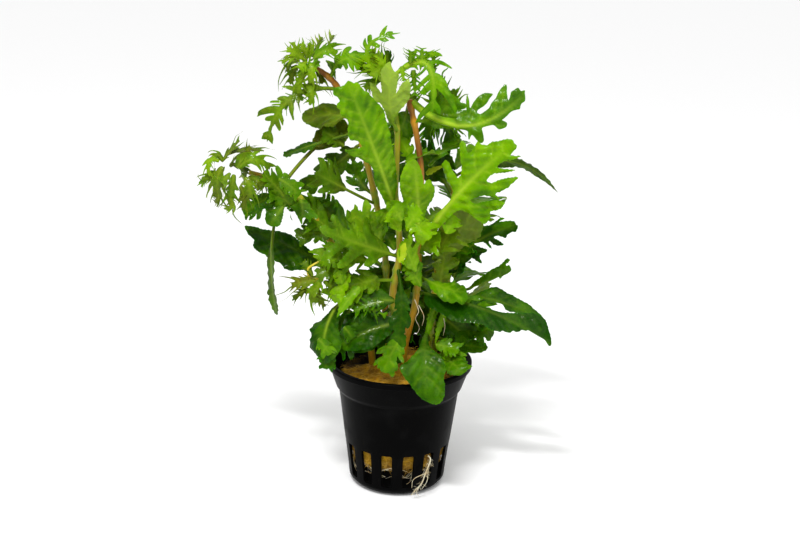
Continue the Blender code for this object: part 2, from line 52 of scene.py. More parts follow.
# %% [markdown]
# ## Camera, floor and light
#
# The camera stands where the ellipses of the pot's lip and foot say that it stood. The floor is a plain
# pale sheet. The light is a grey sky with a wide soft sun from above, which keeps the floor evenly bright,
# and one small oblong lamp, whose mirror image makes the wet glints on the leaves.

# %% Camera
CAMERA_PLACE = (-0.0003, -0.447, 0.22556)
LOOKING_DOWN = 0.303
ROLL = 0.026
YAW = 0.001
PIXELS_PER_RADIAN = 1259.6
PICTURE_WIDTH = 800

camera_data = bpy.data.cameras.new("camera")
camera_data.sensor_width = 36
camera_data.lens = camera_data.sensor_width * PIXELS_PER_RADIAN / PICTURE_WIDTH
camera_data.clip_start = 0.01
camera = bpy.data.objects.new("camera", camera_data)
bpy.context.scene.collection.objects.link(camera)
camera.matrix_world = (
    Matrix.Translation(CAMERA_PLACE) @ Matrix.Rotation(YAW, 4, "Z")
    @ Matrix.Rotation(math.pi / 2 - LOOKING_DOWN, 4, "X") @ Matrix.Rotation(ROLL, 4, "Z"))
bpy.context.scene.camera = camera
print("lens:", round(camera_data.lens, 2), "mm")

# %% [markdown]
# ## Places put down on the photograph
#
# Many places in this lesson were put down on the photograph. Each is written as it was put down: a
# pixel, counted from the picture's left and top, and a depth, which is the place's y in millimetres. The
# depth is a guess, because one picture can't tell it. The camera's own formula turns the two into a place.
# A pixel is about a third of a millimetre on the plant, so places are rounded to whole millimetres.

# %% From a pixel to a place, and back
MIDDLE_X = 400
MIDDLE_Y = 266.5
CAMERA_X, CAMERA_Y, CAMERA_Z = (metres / MM for metres in CAMERA_PLACE)


def turned_by(x, y, angle):
    """The pair (x, y) turned by an angle: (x cos - y sin, x sin + y cos)."""
    return x * np.cos(angle) - y * np.sin(angle), x * np.sin(angle) + y * np.cos(angle)


def seen_at(pixel, depth):
    """The place that the picture shows at a pixel, on the upright plane y = depth, in whole millimetres.

    The ray goes right and up by the pixel's way from the picture's middle, and forward by
    PIXELS_PER_RADIAN. It is turned as the camera is, and followed as far as the plane.
    """
    right, up = turned_by(pixel[0] - MIDDLE_X, MIDDLE_Y - pixel[1], ROLL)
    forward, up = turned_by(PIXELS_PER_RADIAN, up, -LOOKING_DOWN)
    right, forward = turned_by(right, forward, YAW)
    reach = (depth - CAMERA_Y) / forward
    return np.rint((CAMERA_X + reach * right, depth, CAMERA_Z + reach * up))


def pixels_of(x, y, z):
    """Where the picture shows places: the same turns the other way, then right and up over forward."""
    right, forward = turned_by(x - CAMERA_X, y - CAMERA_Y, -YAW)
    forward, up = turned_by(forward, z - CAMERA_Z, LOOKING_DOWN)
    right, up = turned_by(PIXELS_PER_RADIAN * right / forward, PIXELS_PER_RADIAN * up / forward, -ROLL)
    return MIDDLE_X + right, MIDDLE_Y - up


print("the pot's foot is seen at pixel:", np.round(pixels_of(0, 0, 0), 1).tolist())

# %% Floor, sky and lamps
FLOOR_HALF = 6.0
FLOOR_BRIGHTNESS = 0.93
SKY_STRENGTH = 0.56
bpy.context.scene.view_settings.view_transform = "Standard"

world = bpy.data.worlds.new("sky")
world.use_nodes = True
world.node_tree.nodes["Background"].inputs["Color"].default_value = (1, 1, 1, 1)
world.node_tree.nodes["Background"].inputs["Strength"].default_value = SKY_STRENGTH
bpy.context.scene.world = world

floor_mesh = bpy.data.meshes.new("floor")
floor_corners = [(-FLOOR_HALF, -FLOOR_HALF, 0), (FLOOR_HALF, -FLOOR_HALF, 0),
                 (FLOOR_HALF, FLOOR_HALF, 0), (-FLOOR_HALF, FLOOR_HALF, 0)]
floor_mesh.from_pydata(floor_corners, [], [(0, 1, 2, 3)])
floor = bpy.data.objects.new("floor", floor_mesh)
bpy.context.scene.collection.objects.link(floor)
floor_finish = bpy.data.materials.new("pale_floor")
floor_finish.use_nodes = True
floor_shader = floor_finish.node_tree.nodes["Principled BSDF"]
floor_shader.inputs["Base Color"].default_value = (*[FLOOR_BRIGHTNESS] * 3, 1)
floor_shader.inputs["Roughness"].default_value = 0.8
floor_shader.inputs["Specular IOR Level"].default_value = 0.1
floor_mesh.materials.append(floor_finish)


def lamp(name, kind, place, aim, size, power):
    """A soft lamp at a place, turned to face a point. Size is an oblong's two sides, or a sun's width in
    radians."""
    light = bpy.data.lights.new(name, kind)
    light.energy = power
    if kind == "SUN":
        light.angle = size
    else:
        light.shape = "RECTANGLE"
        light.size, light.size_y = size
    made = bpy.data.objects.new(name, light)
    bpy.context.scene.collection.objects.link(made)
    made.location = place
    made.rotation_euler = (Vector(aim) - Vector(place)).to_track_quat("-Z", "Y").to_euler()


lamp("soft_sun", "SUN", (-0.05, -0.6, 1.0), (0, 0, 0), size=1.3, power=1.75)
lamp("lamp_above", "AREA", (-0.1, -0.35, 0.6), (0, 0, 0.1), size=(0.14, 0.04), power=2.7)

# %% [markdown]
# ## From arrays to a mesh
#
# Every shape below is three things: its points in millimetres, its faces as rows of four point numbers (a
# row that ends in -1 is a triangle), and marks, which are numbers that each point carries for its finish,
# such as how near it is to a vein. Keeping shapes as arrays lets hundreds of small ones join into one mesh.


# %% Joining shapes and building meshes
def joined(shapes):
    """Several shapes as one: points end to end, and each face's numbers raised by the points before it."""
    starts = np.cumsum([0] + [len(points) for points, _, _ in shapes[:-1]])
    faces = np.vstack([np.where(f < 0, -1, f + start) for (_, f, _), start in zip(shapes, starts)])
    marks = {key: np.concatenate([m[key] for _, _, m in shapes]) for key in shapes[0][2]}
    return np.vstack([points for points, _, _ in shapes]), faces, marks


def faces_outwards(points, faces):
    """The faces, turned over if the space they close comes out negative (sum of p0 . (p1 x p2) / 6)."""
    p0, p1, p2 = points[faces[:, 0]], points[faces[:, 1]], points[faces[:, 2]]
    p3 = np.where(faces[:, 3:] < 0, p0, points[faces[:, 3]])
    volume = (p0 * np.cross(p1, p2)).sum() + (p0 * np.cross(p2, p3)).sum()
    if volume > 0:
        return faces
    triangle = faces[:, 3] < 0
    turned = faces[:, ::-1].copy()
    turned[triangle] = faces[triangle][:, [2, 1, 0, 3]]
    return turned


def build(name, shape, finish, nodes=(), merge=False, sharp_deg=60):
    """Puts a shape into the scene as the piece called name, which rides on the frame."""
    points, faces, marks = shape
    faces = faces_outwards(points, faces)
    corners = (faces >= 0).sum(axis=1)
    loops = faces[faces >= 0]
    mesh = bpy.data.meshes.new(name)
    mesh.vertices.add(len(points))
    mesh.vertices.foreach_set("co", (points * MM).ravel())
    mesh.loops.add(len(loops))
    mesh.loops.foreach_set("vertex_index", loops)
    mesh.polygons.add(len(faces))
    mesh.polygons.foreach_set("loop_start", np.concatenate([[0], corners.cumsum()[:-1]]))
    mesh.update(calc_edges=True)
    for key, values in marks.items():
        mesh.attributes.new(key, "FLOAT", "POINT").data.foreach_set("value", values.astype(np.float32))
    if merge:
        work = bmesh.new()
        work.from_mesh(mesh)
        bmesh.ops.remove_doubles(work, verts=work.verts, dist=0.001 * MM)
        bmesh.ops.recalc_face_normals(work, faces=work.faces)
        work.to_mesh(mesh)
        work.free()
    mesh.validate()
    mesh.shade_smooth()
    mesh.set_sharp_from_angle(angle=math.radians(sharp_deg))
    mesh.materials.append(finish)
    piece = bpy.data.objects.new(name, mesh)
    bpy.context.scene.collection.objects.link(piece)
    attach(piece, "root")
    if nodes:
        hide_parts(*nodes)
    return piece


def unit(vectors):
    """Vectors divided by their own length."""
    return vectors / np.linalg.norm(vectors, axis=-1, keepdims=True)


def triangles_in(objects):
    """How many triangles the pieces have: a face of n corners is n - 2."""
    return sum(len(p.vertices) - 2 for o in objects for p in o.data.polygons)


# %% [markdown]
# ## Finishes from nodes
#
# A finish here is one Principled shader. What changes over the surface comes from noise in the piece's own
# coordinates and from the marks that its points carry, so the pattern stays on the piece when it moves.
# Two small helpers keep the node trees short.


# %% Node helpers
def add(tree, kind, inputs=None, **settings):
    """A new node with its settings. An input is a number, or the socket that feeds it."""
    made = tree.nodes.new("ShaderNode" + kind)
    for key, value in settings.items():
        setattr(made, key, value)
    for key, value in (inputs or {}).items():
        if isinstance(value, bpy.types.NodeSocket):
            tree.links.new(value, made.inputs[key])
        else:
            made.inputs[key].default_value = value
    return made


def mixed(tree, share, first, second):
    """One colour that goes from the first to the second as share goes from 0 to 1."""
    made = add(tree, "Mix", data_type="RGBA")
    for number, value in ((0, share), (6, first), (7, second)):
        if isinstance(value, bpy.types.NodeSocket):
            tree.links.new(value, made.inputs[number])
        else:
            made.inputs[number].default_value = (*value, 1) if isinstance(value, tuple) else value
    return made.outputs[2]


def sums(tree, operation, first, second, clamp=False):
    """Two numbers put together by an operation, such as ADD, and held between 0 and 1 if clamp is on."""
    return add(tree, "Math", {0: first, 1: second}, operation=operation, use_clamp=clamp).outputs[0]


def mark(tree, name):
    """The mark called name, as the surface's points carry it."""
    return add(tree, "Attribute", attribute_name=name).outputs["Fac"]


def noise(tree, per_metre, detail=3.0, stretch=(1, 1, 1)):
    """Cloudy noise in the piece's own coordinates, with so many clouds to the metre."""
    place = add(tree, "TexCoord").outputs["Object"]
    turned = add(tree, "Mapping", {"Vector": place, "Scale": stretch}).outputs["Vector"]
    return add(tree, "TexNoise", {"Vector": turned, "Scale": per_metre, "Detail": detail}).outputs["Fac"]


def between(tree, value, low, high, to_low=0.0, to_high=1.0):
    """Carries value from the range low..high to the range to_low..to_high, and holds it there."""
    inputs = {"Value": value, "From Min": low, "From Max": high, "To Min": to_low, "To Max": to_high}
    return add(tree, "MapRange", inputs).outputs["Result"]


def new_finish(name):
    """An empty finish: its node tree and its shader."""
    made = bpy.data.materials.new(name)
    made.use_nodes = True
    return made, made.node_tree, made.node_tree.nodes["Principled BSDF"]


def finish_with(tree, shader, colour, roughness, height, bump_mm, **settings):
    """Feeds colour, roughness and a bump of so many millimetres to the shader, and sets its other inputs.

    An input's name is written with _ for each space, as in Coat_Weight.
    """
    tree.links.new(colour, shader.inputs["Base Color"])
    tree.links.new(roughness, shader.inputs["Roughness"])
    bump = add(tree, "Bump", {"Height": height, "Distance": bump_mm * MM, "Strength": 1.0})
    tree.links.new(bump.outputs["Normal"], shader.inputs["Normal"])
    for key, value in settings.items():
        shader.inputs[key.replace("_", " ")].default_value = value


# %% Pot, wool, stem and root finishes
def pot_finish():
    """Satin black plastic: faint streaks from the mould, and a few dull smears of dried water."""
    made, tree, shader = new_finish("black_plastic")
    streak = noise(tree, 900, 2.0, (1, 1, 0.15))
    smear = between(tree, noise(tree, 110, 4.0), 0.52, 0.75)
    colour = mixed(tree, smear, (0.001, 0.001, 0.001), (0.003, 0.003, 0.003))
    roughness = sums(tree, "ADD", between(tree, smear, 0, 1, 0.3, 0.5), sums(tree, "MULTIPLY", streak, 0.1))
    finish_with(tree, shader, colour, roughness, streak, bump_mm=0.02, Specular_IOR_Level=0.02)
    return made


def wool_finish():
    """Wet rock wool: orange-brown, mottled with brown, with painted shade at its top's back left and its
    sides.
    """
    made, tree, shader = new_finish("rock_wool")
    cloud = between(tree, noise(tree, 220, 5.0), 0.35, 0.65)
    grain = noise(tree, 2500, 3.0)
    colour = mixed(tree, cloud, (0.25, 0.11, 0.003), (0.7, 0.38, 0.008))
    colour = mixed(tree, mark(tree, "tone"), colour, (0.8, 0.52, 0.1))
    # Painted shade: the deep mark takes the wool's colour to near black.
    colour = mixed(tree, mark(tree, "deep"), colour, (0.004, 0.002, 0.0005))
    roughness = between(tree, cloud, 0, 1, 0.55, 0.85)
    finish_with(tree, shader, colour, roughness, grain, bump_mm=0.25, Specular_IOR_Level=0.15)
    return made


def stem_finish():
    """Stem skin by its redness: yellow below 0, green at 0, orange-brown at 0.5, dark red-brown at 1."""
    made, tree, shader = new_finish("stem_skin")
    patch = between(tree, noise(tree, 150, 3.0, (1, 1, 0.3)), 0.35, 0.65, -0.3, 0.3)
    redness = sums(tree, "ADD", mark(tree, "redness"), patch)
    streak = noise(tree, 2600, 2.0, (1, 1, 0.08))
    colour = mixed(tree, between(tree, redness, -0.4, 0.0), (0.55, 0.48, 0.03), (0.15, 0.27, 0.008))
    colour = mixed(tree, between(tree, redness, 0.05, 0.5), colour, (0.46, 0.21, 0.008))
    colour = mixed(tree, between(tree, redness, 0.6, 1.0), colour, (0.17, 0.05, 0.008))
    colour = mixed(tree, between(tree, streak, 0.3, 0.8, 0, 0.3), colour, (0.42, 0.24, 0.02))
    finish_with(tree, shader, colour, between(tree, streak, 0, 1, 0.25, 0.45), streak, bump_mm=0.06,
                Specular_IOR_Level=0.2, Coat_Weight=0.1, Coat_Roughness=0.15)
    return made


def root_finish():
    """Wet young root: off-white with cream and tan patches, a little see-through at its skin."""
    made, tree, shader = new_finish("root_skin")
    patch = between(tree, noise(tree, 400, 3.0), 0.4, 0.7)
    colour = mixed(tree, patch, (0.62, 0.57, 0.41), (0.42, 0.28, 0.1))
    finish_with(tree, shader, colour, between(tree, patch, 0, 1, 0.3, 0.5), noise(tree, 3000),
                bump_mm=0.03, Subsurface_Weight=0.3, Subsurface_Radius=(1.0, 0.8, 0.5),
                Subsurface_Scale=0.6 * MM)
    return made


# %% [markdown]
# The leaf's finish reads four marks: tone (how bright the leaf is, partly by its own colour and partly by
# painted light and shade), bronze (how far it has turned), vein and under. The highest tones go over to
# yellow. Veins are paler and yellower, and the under side is a dull grey-green. A thin wet coat gives the
# sharp glints of a leaf that has just been watered.


# %% Leaf finish
DEEP_GREEN = (0.006, 0.04, 0.0)
LEAF_GREEN = (0.05, 0.155, 0.0)
BRIGHT_GREEN = (0.15, 0.32, 0.0)
VEIN_GREEN = (0.36, 0.5, 0.03)
UNDER_GREEN = (0.25, 0.33, 0.05)
BRONZE = (0.1, 0.095, 0.006)
YELLOW = (0.42, 0.46, 0.02)


def leaf_finish(name, brightness, roughness_range, coat):
    """Leaf colour: from deep green through bright green to yellow by tone, then bronze, under and vein."""
    made, tree, shader = new_finish(name)
    cloud = between(tree, noise(tree, 120, 4.0), 0.3, 0.7, -0.22, 0.22)
    # The tone mark holds painted light and shade as well as the leaf's own colour.
    tone = sums(tree, "ADD", sums(tree, "ADD", mark(tree, "tone"), cloud), brightness)
    colour = mixed(tree, between(tree, tone, 0.0, 0.5), DEEP_GREEN, LEAF_GREEN)
    colour = mixed(tree, between(tree, tone, 0.45, 1.0), colour, BRIGHT_GREEN)
    colour = mixed(tree, between(tree, tone, 1.1, 1.6), colour, YELLOW)
    rust = between(tree, noise(tree, 260, 4.0), 0.35, 0.7, 0.5, 1.0)
    colour = mixed(tree, sums(tree, "MULTIPLY", mark(tree, "bronze"), rust, clamp=True), colour, BRONZE)
    underside = sums(tree, "MULTIPLY", mark(tree, "under"), 0.62)
    colour = mixed(tree, underside, colour, UNDER_GREEN)
    vein = sums(tree, "MULTIPLY", mark(tree, "vein"), 0.8)
    colour = mixed(tree, vein, colour, VEIN_GREEN)
    cells = add(tree, "TexVoronoi", {"Vector": add(tree, "TexCoord").outputs["Object"], "Scale": 900.0})
    fine = sums(tree, "ADD", cells.outputs["Distance"], sums(tree, "MULTIPLY", noise(tree, 2500), 0.6))
    low, high = roughness_range
    roughness = between(tree, noise(tree, 420, 3.0), 0.3, 0.7, low, high)
    finish_with(tree, shader, colour, roughness, fine, bump_mm=0.11, Specular_IOR_Level=0.07,
                Specular_Tint=(0.8, 1.0, 0.2, 1), Coat_Weight=coat, Coat_Roughness=0.1,
                Subsurface_Weight=0.25, Subsurface_Radius=(0.5, 1.0, 0.1), Subsurface_Scale=0.8 * MM)
    return made


BLACK_PLASTIC = pot_finish()
ROCK_WOOL = wool_finish()
STEM_SKIN = stem_finish()
ROOT_SKIN = root_finish()
LEAF_BLADE = leaf_finish("leaf_blade", 0.0, (0.3, 0.5), 0.1)
YOUNG_LEAF = leaf_finish("young_leaf", -0.07, (0.35, 0.55), 0.08)
print("finishes:", [m.name for m in bpy.data.materials])

# %% [markdown]
# ## The pot
#
# The real pot is one moulding of black plastic: a lip, a collar, a wall that narrows downwards and a ring
# of tall slots near the foot. The plain parts are a profile turned about the upright axis. Each slot sits
# in a panel of its own: rings of points go from the panel's border to the slot's rounded rim, through the
# wall, and back to the border on the inside, so the slot has a true thickness and soft corners.

# %% The pot's sizes
POT_HEIGHT = 49.5
LIP_RADIUS = 27.5
LIP_HEIGHT = 2.1
COLLAR_TOP_RADIUS = 26.8
COLLAR_FOOT_RADIUS = 24.1
COLLAR_FOOT_Z = 39.5
WALL_TOP_RADIUS = 22.9
WALL_TOP_Z = 38.0
FOOT_RADIUS = 18.1
FOOT_ROUND = 4.0
FOOT_RECESS = 0.6
RECESS_RADIUS = 8
WALL = 1.0
SLOTS = 15
SLOT_BOTTOM = 4.0
SLOT_TOP = 17.6
FIRST_SLOT_DEG = 12.5
SLOT_HALF_DEG = 6.0
PANEL_BOTTOM = 2.6
PANEL_TOP = 19.0
PANEL_ACROSS = 12
PANEL_UP = 14
CORNER = 0.8


def wall_radius(z):
    """Radius of the outer wall at a height: a straight line from the foot to the wall's top."""
    return FOOT_RADIUS + (WALL_TOP_RADIUS - FOOT_RADIUS) * z / WALL_TOP_Z


def rounded(profile, radius, steps=4):
    """A profile with each inner corner cut back by radius and bridged by the arc of a parabola."""
    p = np.array(profile, float)
    before, after = unit(p[:-2] - p[1:-1]), unit(p[2:] - p[1:-1])
    room = np.minimum(np.linalg.norm(p[:-2] - p[1:-1], axis=1), np.linalg.norm(p[2:] - p[1:-1], axis=1))
    cut = np.minimum(radius, 0.45 * room)[:, None]
    t = np.linspace(0, 1, steps + 1)[None, :, None]
    corner = p[1:-1][:, None]
    first, last = (p[1:-1] + before * cut)[:, None], (p[1:-1] + after * cut)[:, None]
    arcs = first * (1 - t) ** 2 + corner * 2 * t * (1 - t) + last * t**2
    return np.vstack([p[:1], arcs.reshape(-1, 2), p[-1:]])


def turned(profile, columns, first_deg=0.0):
    """A profile of (radius, height) turned about +Z: x = r sin(a), y = -r cos(a), z = height."""
    r, z = np.array(profile, float).T
    a = np.radians(first_deg) + np.arange(columns) * 2 * np.pi / columns
    points = np.stack([r[:, None] * np.sin(a), -r[:, None] * np.cos(a), z[:, None] + 0 * a], axis=-1)
    row, column = np.meshgrid(np.arange(len(r) - 1), np.arange(columns), indexing="ij")
    here, beside = row * columns + column, row * columns + (column + 1) % columns
    faces = np.stack([here, beside, beside + columns, here + columns], axis=-1).reshape(-1, 4)
    return points.reshape(-1, 3), faces, {}


# %% One panel with its slot
def ring_round(half_across, low, high):
    """Points round a rectangle, evenly along its top and foot and closer to the corners up its sides."""
    even = np.linspace(-1, 1, PANEL_ACROSS + 1)[:-1]
    close = -np.cos(np.linspace(0, np.pi, PANEL_UP + 1))[:-1]
    across = np.concatenate([even, np.ones(PANEL_UP), -even, -np.ones(PANEL_UP)])
    up = np.concatenate([-np.ones(PANEL_ACROSS), close, np.ones(PANEL_ACROSS), -close])
    return np.stack([across * half_across, (low + high) / 2 + up * (high - low) / 2], axis=1)


def slot_panels():
    """All panels: each ring mixes the panel's border with the slot's rim, at its own depth in the wall."""
    pitch = 360 / SLOTS
    border = ring_round(pitch / 2, PANEL_BOTTOM, PANEL_TOP)
    rim = ring_round(SLOT_HALF_DEG, SLOT_BOTTOM, SLOT_TOP)
    mm_per_deg = math.radians(1) * wall_radius((SLOT_BOTTOM + SLOT_TOP) / 2)
    half = np.array([SLOT_HALF_DEG * mm_per_deg, (SLOT_TOP - SLOT_BOTTOM) / 2]) - CORNER
    flat = (rim - (0, (SLOT_TOP + SLOT_BOTTOM) / 2)) * (mm_per_deg, 1)
    beyond = (np.abs(flat) - half).clip(0)
    length = np.hypot(*beyond.T)[:, None]
    in_corner = (beyond > 0).all(axis=1)[:, None]
    eased = np.sign(flat) * (half + beyond / np.maximum(length, 1e-9) * CORNER)
    flat = np.where(in_corner, eased, flat)
    rim = flat / (mm_per_deg, 1) + (0, (SLOT_TOP + SLOT_BOTTOM) / 2)
    rings = [(0, 0), (0.5, 0), (0.95, 0), (1, 0.15), (1, WALL - 0.15), (0.95, WALL), (0.5, WALL), (0, WALL)]
    place = np.stack([border * (1 - share) + rim * share for share, _ in rings])
    depth = np.array([deep for _, deep in rings])[:, None]
    centre = FIRST_SLOT_DEG + pitch * np.arange(SLOTS)[:, None, None]
    a = np.radians(centre + place[..., 0])
    r = wall_radius(place[..., 1]) - depth
    z = np.broadcast_to(place[..., 1], a.shape)
    points = np.stack([r * np.sin(a), -r * np.cos(a), z], axis=-1)
    count = len(border)
    ring, step = np.meshgrid(np.arange(len(rings) - 1), np.arange(count), indexing="ij")
    here, beside = ring * count + step, ring * count + (step + 1) % count
    one = np.stack([here, here + count, beside + count, beside], axis=-1).reshape(-1, 4)
    faces = one + len(rings) * count * np.arange(SLOTS)[:, None, None]
    return points.reshape(-1, 3), faces.reshape(-1, 4), {}


# %% The pot in one mesh
def pot_shape():
    """The profiles below and above the slots, turned, and joined to the slots' panels."""
    columns = SLOTS * PANEL_ACROSS
    low_outside = rounded([(0, FOOT_RECESS), (RECESS_RADIUS, FOOT_RECESS), (RECESS_RADIUS + 1, 0),
                           (FOOT_RADIUS - FOOT_ROUND, 0), (FOOT_RADIUS - 1.1, 0.8),
                           (wall_radius(PANEL_BOTTOM), PANEL_BOTTOM)], 1.2)
    low_inside = [(wall_radius(PANEL_BOTTOM) - WALL, PANEL_BOTTOM), (16.6, 1.6),
                  (FOOT_RADIUS - FOOT_ROUND, WALL), (0, WALL + 0.2)]
    high = rounded([
        (wall_radius(PANEL_TOP), PANEL_TOP), (WALL_TOP_RADIUS, WALL_TOP_Z),
        (COLLAR_FOOT_RADIUS, COLLAR_FOOT_Z), (COLLAR_TOP_RADIUS, POT_HEIGHT - LIP_HEIGHT),
        (LIP_RADIUS, POT_HEIGHT - LIP_HEIGHT), (LIP_RADIUS, POT_HEIGHT),
        (COLLAR_TOP_RADIUS - WALL, POT_HEIGHT), (COLLAR_FOOT_RADIUS - WALL, COLLAR_FOOT_Z),
        (WALL_TOP_RADIUS - WALL, WALL_TOP_Z), (wall_radius(PANEL_TOP) - WALL, PANEL_TOP)], 0.45)
    first = FIRST_SLOT_DEG - 180 / SLOTS
    shapes = [turned(low_outside, columns, first), turned(low_inside, columns, first),
              turned(high, columns, first), slot_panels()]
    return joined(shapes)


pot = build("pot_with_slots", pot_shape(), BLACK_PLASTIC, ["pot"],
            merge=True, sharp_deg=50)
print("pot:", triangles_in([pot]), "triangles")

# %% [markdown]
# ## The rock wool
#
# Wet rock wool is a plug of matted fibres. Its body is a turned surface with ridges, one hollow and one
# clump, pushed about by several waves. Shade is painted on it: near black over the back of its top's left
# side, where it lies low in the pot's shadow, and fainter on its sides inside the pot. Its nap is a few
# thousand bent hairs that lie on the body, joined in one mesh.

# %% Tubes along paths
def tubes(paths, radii, sides, level=(0, 0, 1), square=0.0):
    """Round skins along paths: point = path + radius * (cos(turn) * first + sin(turn) * second).

    paths is (tubes, points, 3) and radii (tubes, points). first is the way along crossed with level, and
    square adds four faint ridges, as on a square stem.
    """
    count, rows, _ = paths.shape
    along = unit(np.gradient(paths, axis=1))
    first = unit(np.cross(along, level))
    second = np.cross(first, along)
    turn = np.arange(sides) * 2 * np.pi / sides
    about = np.cos(turn)[:, None] * first[:, :, None] + np.sin(turn)[:, None] * second[:, :, None]
    width = radii[:, :, None, None] * (1 + square * np.cos(4 * turn))[:, None]
    skin = (paths[:, :, None] + width * about).reshape(count, -1, 3)
    points = np.concatenate([skin, paths[:, [0, -1]]], axis=1)
    row, side = np.meshgrid(np.arange(rows - 1), np.arange(sides), indexing="ij")
    here, beside = row * sides + side, row * sides + (side + 1) % sides
    walls = np.stack([here, beside, beside + sides, here + sides], axis=-1).reshape(-1, 4)
    step, after = np.arange(sides), (np.arange(sides) + 1) % sides
    last, none = (rows - 1) * sides, np.full(sides, -1)
    foot = np.stack([after, step, np.full(sides, rows * sides), none], axis=1)
    top = np.stack([last + step, last + after, np.full(sides, rows * sides + 1), none], axis=1)
    one = np.vstack([walls, foot, top])
    faces = np.where(one < 0, -1, one + points.shape[1] * np.arange(count)[:, None, None])
    share = np.linspace(0, 1, rows)
    along_it = np.concatenate([np.repeat(share, sides), [0.0, 1.0]])
    return points.reshape(-1, 3), faces.reshape(-1, 4), {"along": np.tile(along_it, count)}


# %% The plug
WOOL_BOTTOM = 10.5
WOOL_TOP = 45.5
CLEARANCE = 0.6
HOLLOW_DEPTH = 2.6
HOLLOW_RADIUS = 9.5
HOLLOW_X = -12
HOLLOW_Y = 8
CLUMP_HEIGHT = 2.4
CLUMP_RADIUS = 3.5
CLUMP_X = -9
CLUMP_Y = -3
CLUMP_STRETCH = 1.5
# Where shade is painted on the plug: a bell over the back of its top's left side, and a share on its sides.
SHADE_X = -15
SHADE_Y = 12
SHADE_ACROSS = 14
SHADE_ALONG = 12
SIDE_SHADE = 0.42
WOOL_ROWS = 150
WOOL_COLUMNS = 240
HAIRS = 4200


def wool_lump(x, y):
    """Height over the plug's mean top: waves, less a hollow and plus a clump, both exp(-distance^2)."""
    ridge = np.sin(0.45 * x + 1.0) * np.cos(0.38 * y) + 0.7 * np.sin(0.9 * y - 0.6 * x)
    fine = np.sin(1.9 * x + 0.7 * y) * np.cos(2.3 * y - 0.4 * x)
    off_hollow = np.hypot(x - HOLLOW_X, y - HOLLOW_Y) / HOLLOW_RADIUS
    off_clump = np.hypot((x - CLUMP_X) / CLUMP_STRETCH, y - CLUMP_Y) / CLUMP_RADIUS
    clump = CLUMP_HEIGHT * np.exp(-off_clump**2) * (1 + 0.4 * np.sin(2.1 * x) * np.sin(1.7 * y))
    return 0.7 * ridge + 0.25 * fine - HOLLOW_DEPTH * np.exp(-off_hollow**2) + clump


def wool_painted_shade(x, y):
    """Painted shade on the plug's top: a bell over the back of its left side."""
    return np.exp(-(((x - SHADE_X) / SHADE_ACROSS) ** 2 + ((y - SHADE_Y) / SHADE_ALONG) ** 2) ** 3)


def wool_side(z):
    """The plug's radius at a height, where it fills the pot."""
    return wall_radius(z) - WALL - CLEARANCE


COLLAR_INNER = COLLAR_FOOT_RADIUS - WALL - CLEARANCE


def wool_shape():
    """The plug: a turned profile, drawn in a little by crossed waves, its top lifted by wool_lump."""
    foot = wool_side(WOOL_BOTTOM)
    profile = [(0, WOOL_BOTTOM), (0.6 * foot, WOOL_BOTTOM - 0.6), (foot - 1.0, WOOL_BOTTOM),
               (wool_side(WOOL_BOTTOM + 2), WOOL_BOTTOM + 2), (wool_side(WALL_TOP_Z - 1), WALL_TOP_Z - 1),
               (COLLAR_INNER, WOOL_TOP - 3.5), (COLLAR_INNER - 0.8, WOOL_TOP - 0.8),
               (0.75 * COLLAR_INNER, WOOL_TOP), (0, WOOL_TOP)]
    r, z = np.array(profile, float).T
    run = np.concatenate([[0], np.hypot(np.diff(r), np.diff(z)).cumsum()])
    even = np.linspace(0, run[-1], WOOL_ROWS)
    dense = np.stack([np.interp(even, run, r), np.interp(even, run, z)], axis=1)
    points, faces, marks = turned(dense, WOOL_COLUMNS)
    x, y, z = points.T
    on_top = np.clip((z - WOOL_TOP + 1.5) / 1.2, 0, 1)
    rough = np.sin(2.7 * x + 3.1 * z) * np.sin(2.3 * y - 1.7 * z)
    rough = rough + 0.5 * np.sin(5.1 * x - 4.3 * y + 3.7 * z)
    shrink = 1 - 0.02 * (1 + rough / 1.5) * np.clip(np.hypot(x, y) / 5, 0, 1)
    lifted = z + on_top * (wool_lump(x, y) + 0.15 * rough) + (z < WOOL_BOTTOM + 0.1) * 0.3 * (1 + rough)
    marks["tone"] = 0.08 * (1 + rough)
    # Painted shade: a bell over the top's back left, and a fixed share on the sides inside the pot.
    marks["deep"] = on_top * wool_painted_shade(x, y) + (1 - on_top) * SIDE_SHADE
    return np.stack([x * shrink, y * shrink, lifted], axis=1), faces, marks


wool = build("rock_wool_plug", wool_shape(), ROCK_WOOL, ["rock_wool"], merge=True)
print("wool:", triangles_in([wool]), "triangles")


